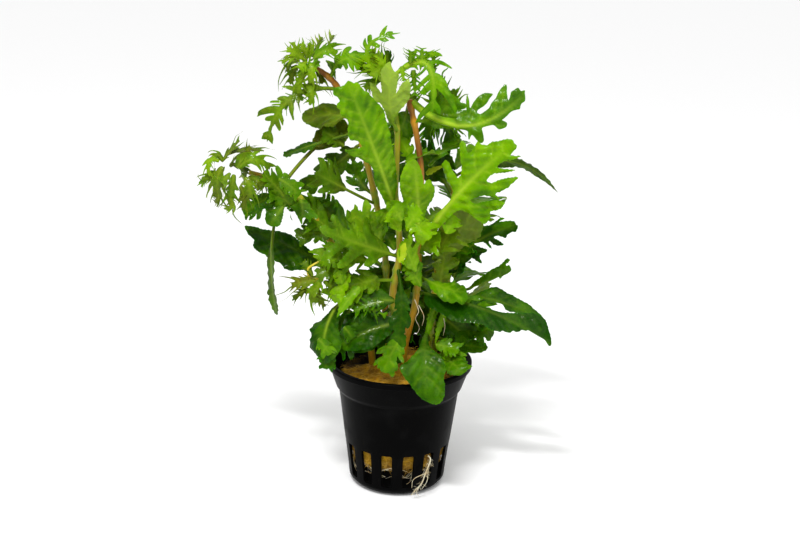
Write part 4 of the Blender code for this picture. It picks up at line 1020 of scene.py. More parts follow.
# %% Rims traced in the photograph
# For each leaf, the pixels up its left side, where s is above 0, and then up its right side. Both go from
# the foot to the tip and end in the same pixel.
TRACES = {
    "leaf_large_front": (
        [(386, 205), (383, 198), (376, 185), (374, 178), (374, 172), (370, 165), (365, 162), (359, 159),
        (352, 157), (348, 155), (345, 150), (350, 150), (357, 149), (362, 147), (358, 141), (352, 140),
        (348, 136), (348, 128), (348, 120), (345, 117), (341, 115), (340, 110), (337, 107), (338, 103),
        (340, 101), (338, 98), (334, 95), (333, 92), (334, 88), (338, 87), (343, 86), (346, 83),
        (350, 80)],
        [(396, 205), (395, 196), (397, 188), (397, 180), (396, 170), (395, 160), (393, 150), (391, 140),
        (390, 133), (388, 127), (386, 120), (385, 114), (383, 109), (380, 106), (375, 100), (371, 96),
        (368, 92), (364, 90), (360, 85), (357, 82), (354, 83), (350, 80)]),
    "leaf_top_pale_underside": (
        [(394, 123), (396, 118), (398, 114), (401, 109), (405, 105), (409, 100), (410, 94), (411, 87),
        (409, 79), (405, 81), (402, 83), (400, 87), (396, 93), (397, 86), (398, 80), (399, 74),
        (394, 71), (391, 66), (388, 61)],
        [(389, 123), (387, 118), (385, 112), (383, 107), (380, 103), (376, 101), (373, 97), (371, 90),
        (369, 83), (375, 86), (378, 89), (382, 93), (381, 86), (380, 80), (377, 76), (380, 73),
        (382, 69), (385, 65), (388, 61)]),
    "leaf_right_arching": (
        [(440, 116), (450, 118), (460, 118), (467, 115), (466, 107), (466, 100), (467, 94), (469, 100),
        (470, 108), (473, 103), (477, 98), (481, 95), (486, 93), (493, 94), (490, 98), (487, 103),
        (483, 107), (479, 109), (477, 112), (480, 114), (484, 112), (489, 108), (491, 104), (494, 100),
        (496, 98), (497, 95), (499, 91), (502, 87), (505, 84), (507, 86), (507, 92), (508, 100),
        (510, 97), (511, 92), (514, 90), (517, 88), (519, 88), (521, 91), (525, 90), (526, 94),
        (527, 98)],
        [(438, 123), (448, 126), (458, 129), (467, 131), (468, 136), (469, 140), (472, 135), (476, 139),
        (480, 143), (484, 141), (483, 133), (482, 128), (488, 126), (493, 125), (495, 126), (498, 129),
        (501, 129), (506, 127), (507, 123), (504, 121), (502, 120), (503, 119), (507, 116), (511, 112),
        (516, 110), (520, 109), (521, 104), (525, 101), (527, 98)]),
    "leaf_right_large": (
        [(424, 232), (432, 222), (436, 215), (441, 210), (446, 205), (450, 200), (452, 195), (453, 190),
        (449, 184), (446, 178), (444, 172), (443, 165), (446, 160), (450, 163), (452, 169), (455, 174),
        (458, 178), (461, 175), (462, 168), (461, 160), (460, 152), (459, 147), (461, 141), (465, 144),
        (466, 149), (468, 153), (473, 150), (475, 145), (477, 141), (481, 144), (487, 145), (492, 142),
        (499, 141), (503, 140), (508, 139), (513, 140), (515, 144), (519, 149)],
        [(430, 238), (434, 234), (440, 227), (445, 222), (450, 217), (455, 212), (460, 210), (466, 212),
        (472, 216), (480, 222), (484, 224), (488, 219), (490, 212), (498, 210), (503, 207), (506, 203),
        (498, 200), (490, 201), (482, 202), (475, 204), (470, 200), (482, 196), (488, 196), (495, 198),
        (501, 199), (496, 194), (502, 191), (508, 188), (514, 182), (518, 177), (503, 179), (495, 182),
        (490, 183), (487, 180), (493, 174), (500, 173), (508, 172), (515, 170), (505, 169), (497, 167),
        (500, 164), (505, 161), (512, 160), (521, 156), (512, 156), (511, 154), (514, 151),
        (519, 149)]),
    "leaf_centre_front": (
        [(414, 236), (411, 226), (408, 219), (400, 214), (393, 213), (387, 211), (386, 206), (390, 202),
        (397, 201), (403, 203), (402, 196), (400, 188), (400, 180), (402, 172), (404, 168), (407, 163),
        (413, 159)],
        [(422, 236), (424, 226), (425, 216), (428, 206), (432, 200), (434, 195), (435, 190), (433, 185),
        (430, 180), (426, 181), (424, 185), (423, 178), (421, 170), (418, 163), (413, 159)]),
    "leaf_right_drooping": (
        [(424, 292), (436, 295), (450, 299), (462, 302), (472, 304), (480, 306), (490, 309), (500, 312),
        (510, 313), (520, 313), (530, 313), (538, 315), (544, 319), (547, 324), (549, 331), (551, 338),
        (551, 345)],
        [(424, 300), (428, 307), (436, 311), (445, 316), (452, 320), (462, 322), (475, 323), (485, 326),
        (490, 330), (495, 331), (500, 332), (503, 331), (509, 333), (513, 331), (518, 332), (522, 330),
        (526, 331), (529, 328), (535, 329), (538, 332), (541, 334), (545, 340), (549, 346),
        (551, 345)]),
    "leaf_right_drooping_back": (
        [(462, 300), (472, 296), (480, 292), (488, 289), (492, 287), (498, 287), (502, 289), (506, 292),
        (512, 295), (520, 300), (528, 304), (534, 309), (540, 314), (546, 321)],
        [(462, 306), (472, 307), (478, 303), (484, 302), (492, 303), (498, 303), (503, 305), (506, 310),
        (513, 312), (520, 313), (530, 314), (538, 317), (546, 321)]),
    "leaf_low_left_curled": (
        [(356, 298), (352, 308), (350, 318), (351, 330), (348, 340), (342, 345), (338, 350), (335, 356),
        (330, 362), (321, 364)],
        [(350, 296), (340, 302), (332, 308), (328, 313), (320, 319), (312, 322), (309, 326), (309, 330),
        (311, 336), (308, 342), (307, 348), (310, 351), (315, 355), (318, 358), (321, 364)]),
    "leaf_left_dark_glossy": (
        [(328, 268), (318, 266), (310, 268), (303, 270), (297, 270), (291, 270), (285, 268), (282, 264),
        (276, 261), (270, 258), (262, 254), (256, 250), (253, 245), (254, 240), (248, 234), (245, 225)],
        [(330, 256), (322, 256), (316, 257), (312, 252), (305, 246), (298, 240), (290, 234), (280, 231),
        (270, 230), (262, 229), (256, 227), (250, 226), (245, 225)]),
    "leaf_left_bright": (
        [(290, 193), (290, 200), (286, 205), (284, 210), (283, 216), (281, 222), (279, 226), (275, 228)],
        [(280, 188), (272, 190), (266, 199), (262, 203), (256, 205), (254, 210), (248, 213), (246, 215),
        (250, 216), (256, 214), (260, 211), (265, 209), (266, 212), (265, 218), (266, 223), (270, 226),
        (275, 228)]),
    "leaf_olive_upper_left": (
        [(345, 118), (335, 124), (326, 128), (316, 127), (308, 125), (304, 122), (302, 118)],
        [(345, 106), (335, 104), (325, 104), (315, 106), (307, 109), (303, 113), (302, 118)]),
    "leaf_right_narrow": (
        [(468, 288), (475, 281), (482, 276), (490, 271), (497, 267), (502, 263), (505, 260), (508, 259),
        (510, 260), (509, 262), (506, 264), (506, 266), (509, 265), (511, 268)],
        [(470, 290), (474, 286), (479, 282), (485, 281), (491, 280), (496, 278), (499, 277), (500, 279),
        (503, 276), (507, 274), (511, 271), (511, 268)]),
    "leaf_right_dark_lobed": (
        [(452, 272), (452, 262), (455, 252), (460, 246), (466, 242), (474, 239), (476, 235), (480, 229),
        (484, 226), (490, 225), (494, 222), (498, 219), (502, 218), (505, 218), (502, 220), (499, 222),
        (506, 221), (512, 221), (515, 222), (516, 225), (518, 228)],
        [(458, 275), (462, 271), (465, 267), (466, 262), (466, 257), (468, 257), (470, 260), (471, 258),
        (474, 259), (478, 262), (481, 263), (480, 260), (479, 256), (482, 253), (487, 251), (486, 249),
        (480, 247), (474, 244), (478, 243), (483, 242), (486, 244), (489, 247), (492, 249), (491, 246),
        (489, 243), (490, 241), (493, 244), (496, 246), (500, 246), (504, 245), (502, 243), (498, 240),
        (494, 238), (496, 236), (500, 236), (505, 238), (508, 234), (512, 232), (516, 231),
        (518, 228)]),
    "leaf_left_bright_inner": (
        [(306, 200), (311, 208), (316, 213), (318, 219), (312, 218), (310, 222), (306, 218), (302, 218),
        (299, 223)],
        [(292, 198), (289, 208), (290, 214), (292, 219), (295, 222), (299, 223)]),
    "leaf_left_pinnate": (
        [(390, 256), (382, 257), (376, 262), (369, 267), (364, 264), (368, 257), (366, 253), (358, 256),
        (351, 262), (344, 267), (338, 269), (337, 264), (344, 256), (350, 249), (344, 247), (337, 252),
        (329, 259), (322, 260), (323, 254), (330, 246), (336, 241), (330, 237), (324, 235), (320, 226)],
        [(388, 247), (382, 241), (376, 236), (371, 231), (370, 224), (368, 217), (364, 219), (363, 227),
        (362, 232), (357, 229), (355, 220), (351, 212), (347, 210), (346, 216), (349, 225), (350, 230),
        (344, 228), (339, 221), (333, 214), (331, 219), (336, 228), (331, 229), (326, 225),
        (320, 226)]),
}
NET_ALONG = np.linspace(-0.1, 1.3, 1201)
NET_ACROSS = np.linspace(-20, 20, 801)
OFF_MIDRIB = 0.1
PAST_FOOT = 0.6


def traced_rim(name):
    """A traced rim as points (a, s) on the leaf, to a tenth of a millimetre.

    A fine net covers the curved leaf: place = midrib(t) + across s + up cup (|s| - STALK). Each pixel takes
    the point of the net that the picture shows nearest to it, and a = t length. The leaf's pose is a
    choice, so this fits the rim to that pose: another pose would give other numbers.
    """
    stem, height, middle, tip, face, _, _, cup = LEAVES[name]
    start = leaf_start(stem, height, middle)
    places, up, across, length = midrib(start, middle, tip, face, NET_ALONG[:, None])
    lift = cup * (np.abs(NET_ACROSS) - STALK).clip(0)
    net = places + across * NET_ACROSS[:, None] + up * lift[:, None]
    net_x, net_y = pixels_of(*np.moveaxis(net, -1, 0))
    sides = []
    for pixels, low, high in zip(TRACES[name], (OFF_MIDRIB, None), (None, -OFF_MIDRIB)):
        nearest = [((net_x - x) ** 2 + (net_y - y) ** 2).argmin() for x, y in pixels]
        row, column = np.unravel_index(nearest, net_x.shape)
        a = (NET_ALONG[row] * length).clip(PAST_FOOT)
        sides.append(np.stack([a, NET_ACROSS[column].clip(low, high)], axis=1))
    left, right = sides
    rim = np.vstack([left[:-1], [(left[-1] + right[-1]) / 2], right[:-1][::-1]])
    return [(round(a, 1), round(s, 1)) for a, s in rim.tolist()]


# %% Rims on the leaves
# Two rims were corrected against the photograph: the left side of the curled leaf, and the whole blade of
# the leaf over the pot's rim.
CURLED_LEFT_SIDE = [
    (3.5, 1.6), (9.7, 2.4), (14.5, 3.4), (19.2, 4.8), (23.0, 6.0), (25.2, 6.4), (27.2, 6.2)]
RIMS = {name: traced_rim(name) for name in TRACES}
RIMS["leaf_low_left_curled"][:len(CURLED_LEFT_SIDE)] = CURLED_LEFT_SIDE
RIMS["leaf_over_rim"] = [
    (20.0, 1.2), (24.0, 1.7), (26.2, 2.8), (28.2, 4.4), (29.9, 5.6), (31.6, 6.6), (33.5, 7.1),
    (35.5, 7.2), (37.6, 6.6), (39.6, 6.8), (41.5, 6.8), (43.4, 6.2), (44.8, 4.8), (45.0, 2.6),
    (44.4, 0.6), (43.2, -1.9), (40.9, -4.2), (39.0, -5.8), (37.0, -7.6), (35.0, -8.8), (33.6, -8.9),
    (31.8, -6.8), (29.4, -4.6), (27.0, -3.0), (24.4, -1.8), (20.0, -1.2)]
print("rims traced:", len(TRACES), "with", sum(len(rim) for rim in RIMS.values()), "points in all")

# %% A smooth rim with small teeth
TOOTH_PITCH = 1.7
RIM_STEP = 0.2


def resampled(rim, step):
    """The closed line through the rim's points, as points that are evenly far apart along it."""
    closed = np.vstack([rim, rim[:1]])
    run = np.concatenate([[0], np.hypot(*np.diff(closed, axis=0).T).cumsum()])
    even = np.linspace(0, run[-1], int(run[-1] / step) + 1)[:-1]
    return np.stack([np.interp(even, run, closed[:, i]) for i in (0, 1)], axis=1)


def smooth_rim(points, wide, teeth, number):
    """The rim through the points, with the stalk's sides before and after, and small saw teeth on it.

    The teeth stand off the rim by teeth (saw - 0.4), away from the leaf, where the blade is wide enough.
    """
    first, last = 0.5 * points[0][0], 0.5 * points[-1][0]
    ends = [(last, -wide), (-INTO_STEM, -wide)]
    rim = resampled(smooth_path([(-INTO_STEM, wide), (first, wide)] + points + ends, 4), RIM_STEP)
    ways = np.roll(rim, -1, axis=0) - np.roll(rim, 1, axis=0)
    off = unit(np.stack([-ways[:, 1], ways[:, 0]], axis=1))
    run = RIM_STEP * np.arange(len(rim)) / TOOTH_PITCH
    phase = run + 0.5 * np.sin(0.6 * run + number)
    saw = np.sin(np.pi * (phase % 1) ** 1.8) * (0.7 + 0.6 * np.sin(1.3 * np.floor(phase) + number) ** 2)
    room = np.clip((rim[:, 0] - 2) / 4, 0, 1) * np.clip(np.abs(rim[:, 1]) / 1.5 - 0.4, 0, 1)
    return rim + off * (teeth * (saw - 0.4) * room)[:, None]


# %% A rim filled with a net
RIB_ROWS = np.array([-0.6, -0.3, 0.0, 0.3, 0.6])
RIB_STEP = 0.6


def off_rim(points, rim):
    """Each point's distance from the nearest point of the rim."""
    return np.sqrt(((points[:, None] - rim[None]) ** 2).sum(axis=2).min(axis=1))


def net_inside(rim, spacing):
    """Points inside the rim and triangles between them: a net of even triangles, and rows by the midrib."""
    low, high = rim.min(axis=0), rim.max(axis=0)
    rows = np.arange(low[1], high[1], 0.87 * spacing)
    s, a = np.meshgrid(rows, np.arange(low[0], high[0], spacing), indexing="ij")
    a = a + 0.5 * spacing * (np.arange(len(rows)) % 2)[:, None]
    net = np.stack([a.ravel(), s.ravel()], axis=1)
    net = net[np.abs(net[:, 1]) > RIB_ROWS[-1] + 0.4 * spacing]
    rib = np.stack(np.meshgrid(np.arange(low[0], high[0], RIB_STEP), RIB_ROWS), axis=-1).reshape(-1, 2)
    points = np.vstack([rim, net[off_rim(net, rim) > 0.5 * spacing], rib[off_rim(rib, rim) > 0.2]])
    order = np.arange(len(rim))
    rim_edges = np.stack([order, (order + 1) % len(rim)], axis=1)
    made = delaunay_2d_cdt(points.tolist(), rim_edges.tolist(), [], 1, 1e-6)
    flat, triangles = np.array([tuple(p) for p in made[0]]), np.array(made[2])
    used, numbers = np.unique(triangles, return_inverse=True)
    return flat[used], numbers.reshape(-1, 3)


def closed_skin(upper, lower, triangles):
    """Two sheets with the same triangles, the lower one turned over, and a wall between their borders."""
    count = len(upper)
    ways = np.vstack([triangles[:, [0, 1]], triangles[:, [1, 2]], triangles[:, [2, 0]]])
    border = ways[~np.isin(ways[:, 0] * count + ways[:, 1], ways[:, 1] * count + ways[:, 0])]
    walls = np.stack([border[:, 1], border[:, 0], border[:, 0] + count, border[:, 1] + count], axis=1)
    sheets = np.vstack([triangles, triangles[:, ::-1] + count])
    sheets = np.column_stack([sheets, np.full(len(sheets), -1)])
    return np.vstack([upper, lower]), np.vstack([sheets, walls])


# %% Side veins
VEIN_LEAN = 0.9
VEIN_BEND = 1.3
VEIN_WIDTH = 0.35
VEINS_APART = 3.2


def vein_ends(rim):
    """Where side veins end: at the rim's peaks, the furthest out first, then wherever a gap is left."""
    score = np.abs(rim[:, 1]) + 0.5 * rim[:, 0]
    peak = (score > np.roll(score, 1)) & (score >= np.roll(score, -1))
    wide = np.abs(rim[:, 1])
    kept = []
    for end in rim[np.argsort(-(wide + 100 * peak))][:400].tolist():
        if abs(end[1]) > 1.4 and all(abs(end[0] - a) > VEINS_APART or s * end[1] < 0 for a, s in kept):
            kept.append(end)
    return np.array(kept or [(0.0, 1.0)])


def off_veins(a, s, ends):
    """Each point's way from each side vein, a = foot + (end - foot) v^bend with v = s / end's s, and v."""
    v = s[:, None] / ends[:, 1]
    foot = ends[:, 0] - VEIN_LEAN * np.abs(ends[:, 1])
    line = foot + (ends[:, 0] - foot) * v.clip(0) ** VEIN_BEND
    return np.where((v > 0) & (v < 1), 0.75 * (a[:, None] - line), 99.0), v


# %% The blade
BLADE_THICK = 0.13
RIM_THICK = 0.02
NET_SPACING = 0.75


def blade(start, middle, tip, face, rim, stalk, cup, number, look, spacing=NET_SPACING):
    """One leaf as a closed skin: the net inside its rim, with heights, on an upper and an under side."""
    length = midrib(start, middle, tip, face, 0.0)[3]
    rim = resampled(rim, 0.5 * spacing)
    flat, triangles = net_inside(rim, spacing)
    a, s = flat.T
    inward = off_rim(flat, rim)
    half_width = max(np.abs(rim[:, 1]).max(), 1)
    t = a / length
    x = ((t - stalk) / (1 - stalk)).clip(0, 1)
    u = (np.abs(s) - STALK).clip(0)
    places, up, across, _ = midrib(start, middle, tip, face, t)

    off, v = off_veins(a, s, vein_ends(rim))
    vein = (np.exp(-(off / VEIN_WIDTH) ** 2) * (1 - v.clip(0, 1) ** 4)).max(axis=1)
    by_vein = np.exp(-(off / 1.2) ** 2).max(axis=1)
    rib = np.exp(-(s / (0.35 + 0.035 * half_width)) ** 2) * (1 - x) ** 0.8
    from_rim = np.clip(inward / 0.8, 0, 1)
    swell = np.clip(u / 2, 0, 1) * np.clip(inward / 1.6, 0, 1)

    wavy = np.sin(2 * np.pi * (look["waves"] * t + 0.13 * number) + 1.3 * np.sign(s))
    wavy = wavy + 0.35 * np.sin(1.9 * a + number) * np.clip(1 - inward / 2.5, 0, 1)
    rumple = np.sin(1.1 * s + 0.9 * number + 0.45 * a) * np.sin(0.8 * a + 0.7 * s)
    lift = cup * u + look["droop"] * u**2 / half_width + look["wave"] * (u / half_width) ** 1.5 * wavy
    lift = lift + look["pucker"] * swell * (1.2 - 1.2 * by_vein + rumple)
    stalk_like = (1 - x) ** STALK_FADE
    round_stalk = stalk_like * np.sqrt((1 - (s / look["stalk_half"]) ** 2).clip(0))
    round_stalk = (STALK_DEPTH * look["stalk_half"] / STALK - BLADE_THICK) * round_stalk
    thin = RIM_THICK + BLADE_THICK * np.sqrt(1 - (1 - np.clip(inward, 0, 1)) ** 2) + round_stalk
    on_blade = np.clip(x / 0.1, 0, 1)
    above = thin - (0.07 * vein + 0.2 * rib * on_blade) * from_rim
    below = thin + (0.1 * vein + 0.3 * rib * on_blade) * from_rim
    surface = places + across * s[:, None]
    points, faces = closed_skin(surface + up * (lift + above)[:, None],
                                surface + up * (lift - below)[:, None], triangles)
    # Painted light: 0.12 rumple swell makes the tops of the puckers, which rumple lifts above, lighter.
    upper_tone = look["tone"] + 0.15 * (1 - stalk_like) - 0.14 + 0.12 * rumple * swell
    upper_tone = upper_tone + look["stalk_tone"] * stalk_like
    upper_tone = upper_tone + 0.08 * by_vein * swell + 0.08 * np.exp(-(s / 2.5) ** 2)
    marks = {
        "vein": np.tile(np.maximum((0.05 + 0.4 * look["tone"]) * vein * from_rim, look["rib"] * rib), 2),
        "under": np.concatenate([np.zeros_like(x), look["pale"] * np.clip(0.35 + x * 4, 0, 1)]),
        "tone": np.tile(upper_tone, 2), "bronze": np.full(2 * len(x), look["bronze"])}
    return points, faces, marks


# %% [markdown]
# ## Each leaf's look
#
# The leaves run from a bright yellow-green, on the ones that face the light, to nearly black ones at the
# back, and a few have turned bronze. A small table gives each leaf its tone, which is partly the leaf's own
# colour and partly painted light and shade: high on leaves in the light, low on leaves in shade. The rest
# are the same for all leaves unless another table says otherwise.

# %% Looks
# Each leaf's tone: its own colour together with painted light and shade.
TONES_WITH_PAINTED_SHADE = {
    "leaf_top_pale_underside": 0.75, "leaf_top_arching_right": 0.5, "leaf_top_curled": 0.5,
    "leaf_right_arching": 0.34, "leaf_behind_red_stem": 0.4, "leaf_lobed_behind_arch": 0.5,
    "leaf_large_front": 0.58, "leaf_olive_upper_left": 0.5, "leaf_dark_upper_left": 0.1,
    "leaf_small_twig": 0.15, "leaf_dark_diagonal": 0.05, "leaf_left_long_stalk": 0.15,
    "leaf_behind_large": 0.2, "leaf_upper_left_running_right": 0.5, "leaf_upper_left_drooping": 0.45,
    "leaf_left_bright": 0.12, "leaf_left_toothed": 0.25, "leaf_left_bright_inner": 0.28,
    "leaf_left_hanging": 0.1, "leaf_left_dark_glossy": 0.02, "leaf_left_pinnate": 0.4,
    "leaf_left_pinnate_lower": 0.5, "leaf_low_left_curled": 0.03, "leaf_low_front": 0.03,
    "leaf_low_centre": 0.0, "leaf_low_behind": 0.05, "leaf_centre_front": 0.72, "leaf_over_rim": 0.19,
    "leaf_right_large": 0.64, "leaf_right_bronze": 0.4, "leaf_right_dark_lobed": 0.06,
    "leaf_right_dark_narrow": 0.05, "leaf_right_drooping": -0.12, "leaf_right_drooping_back": 0.02,
    "leaf_right_narrow": 0.22, "leaf_right_olive": 0.45, "leaf_right_glossy": 0.42, "leaf_low_right": 0.15,
    "leaf_low_right_upper": 0.2, "leaf_rim_right": 0.3, "leaf_dark_right_behind": 0.0,
    "leaf_back_left": 0.4, "leaf_back_right": 0.45, "leaf_back_high": 0.45, "leaf_back_low": 0.5}
BRONZED = {
    "leaf_olive_upper_left": 0.7, "leaf_dark_upper_left": 0.8, "leaf_upper_left_drooping": 0.5,
    "leaf_right_bronze": 0.55, "leaf_right_olive": 0.5, "leaf_left_pinnate_lower": 0.3,
    "leaf_left_hanging": 0.25, "leaf_dark_diagonal": 0.2, "leaf_right_dark_narrow": 0.2,
    "leaf_left_long_stalk": 0.3, "leaf_left_pinnate": 0.25}
LOOKS = {
    "leaf_right_arching": {"stalk_half": 1.3, "wave": 0.5, "rib": 0.8, "teeth": 0.05, "stalk_tone": 0.5},
    "leaf_top_arching_right": {"rib": 0.9, "stalk_tone": 0.6}, "leaf_top_curled": {"stalk_tone": 0.6},
    "leaf_right_large": {"rib": 1.1, "pucker": 0.75, "stalk_tone": 0.5},
    "leaf_centre_front": {"rib": 0.9, "pucker": 0.45},
    "leaf_over_rim": {"wave": 1.5, "pucker": 0.3, "rib": 0.1}, "leaf_low_centre": {"rib": 0.05},
    "leaf_right_bronze": {"pale": 0.3}, "leaf_left_hanging": {"pale": 0.1, "stalk_tone": -0.1},
    "leaf_dark_diagonal": {"stalk_tone": -0.1}, "leaf_dark_upper_left": {"stalk_tone": -0.15},
    "leaf_large_front": {"wave": 1.9, "waves": 1.7, "rib": 0.8, "pucker": 0.7},
    "leaf_low_front": {"pucker": 0.6, "wave": 1.6, "rib": 0.15},
    # The curled leaf's strong rib is partly its paler midrib and partly a painted highlight along it.
    "leaf_low_left_curled": {"wave": 1.6, "droop": -0.35, "rib": 0.9},
    "leaf_right_drooping": {"wave": 0.5, "rib": 0.15},
    "leaf_right_drooping_back": {"wave": 0.5, "rib": 0.2},
    "leaf_left_dark_glossy": {"wave": 0.7, "pucker": 0.3, "rib": 0.12}}


def look_of(name):
    """A leaf's look: the plain one, with its own tone and bronze, and what LOOKS says otherwise."""
    return {**PLAIN_LOOK, "tone": TONES_WITH_PAINTED_SHADE[name], "bronze": BRONZED.get(name, 0.0), **LOOKS.get(name, {})}


def leaf_shape(name, number):
    """A leaf of the table, with its traced rim, or else with a rim that its kind gives."""
    stem, height, middle, tip, face, half_width, kind, cup = LEAVES[name]
    start, kind, look = leaf_start(stem, height, middle), KINDS[kind], look_of(name)
    length = midrib(start, middle, tip, face, 0.0)[3]
    if name in RIMS:
        rim = smooth_rim(RIMS[name], look["stalk_half"], look["teeth"], number)
    else:
        rim = formula_rim(kind, length, half_width, number, look)
        foot = [(-INTO_STEM, -look["stalk_half"]), (-INTO_STEM, look["stalk_half"])]
        rim = np.vstack([rim, foot])
    return blade(start, middle, tip, face, rim, kind["stalk"], cup, number, look)


leaves = [build(name + "_blade", leaf_shape(name, number), LEAF_BLADE, [name])
          for number, name in enumerate(LEAVES)]
print("leaves:", len(leaves), "with", triangles_in(leaves), "triangles, the largest",
      max(triangles_in([piece]) for piece in leaves))
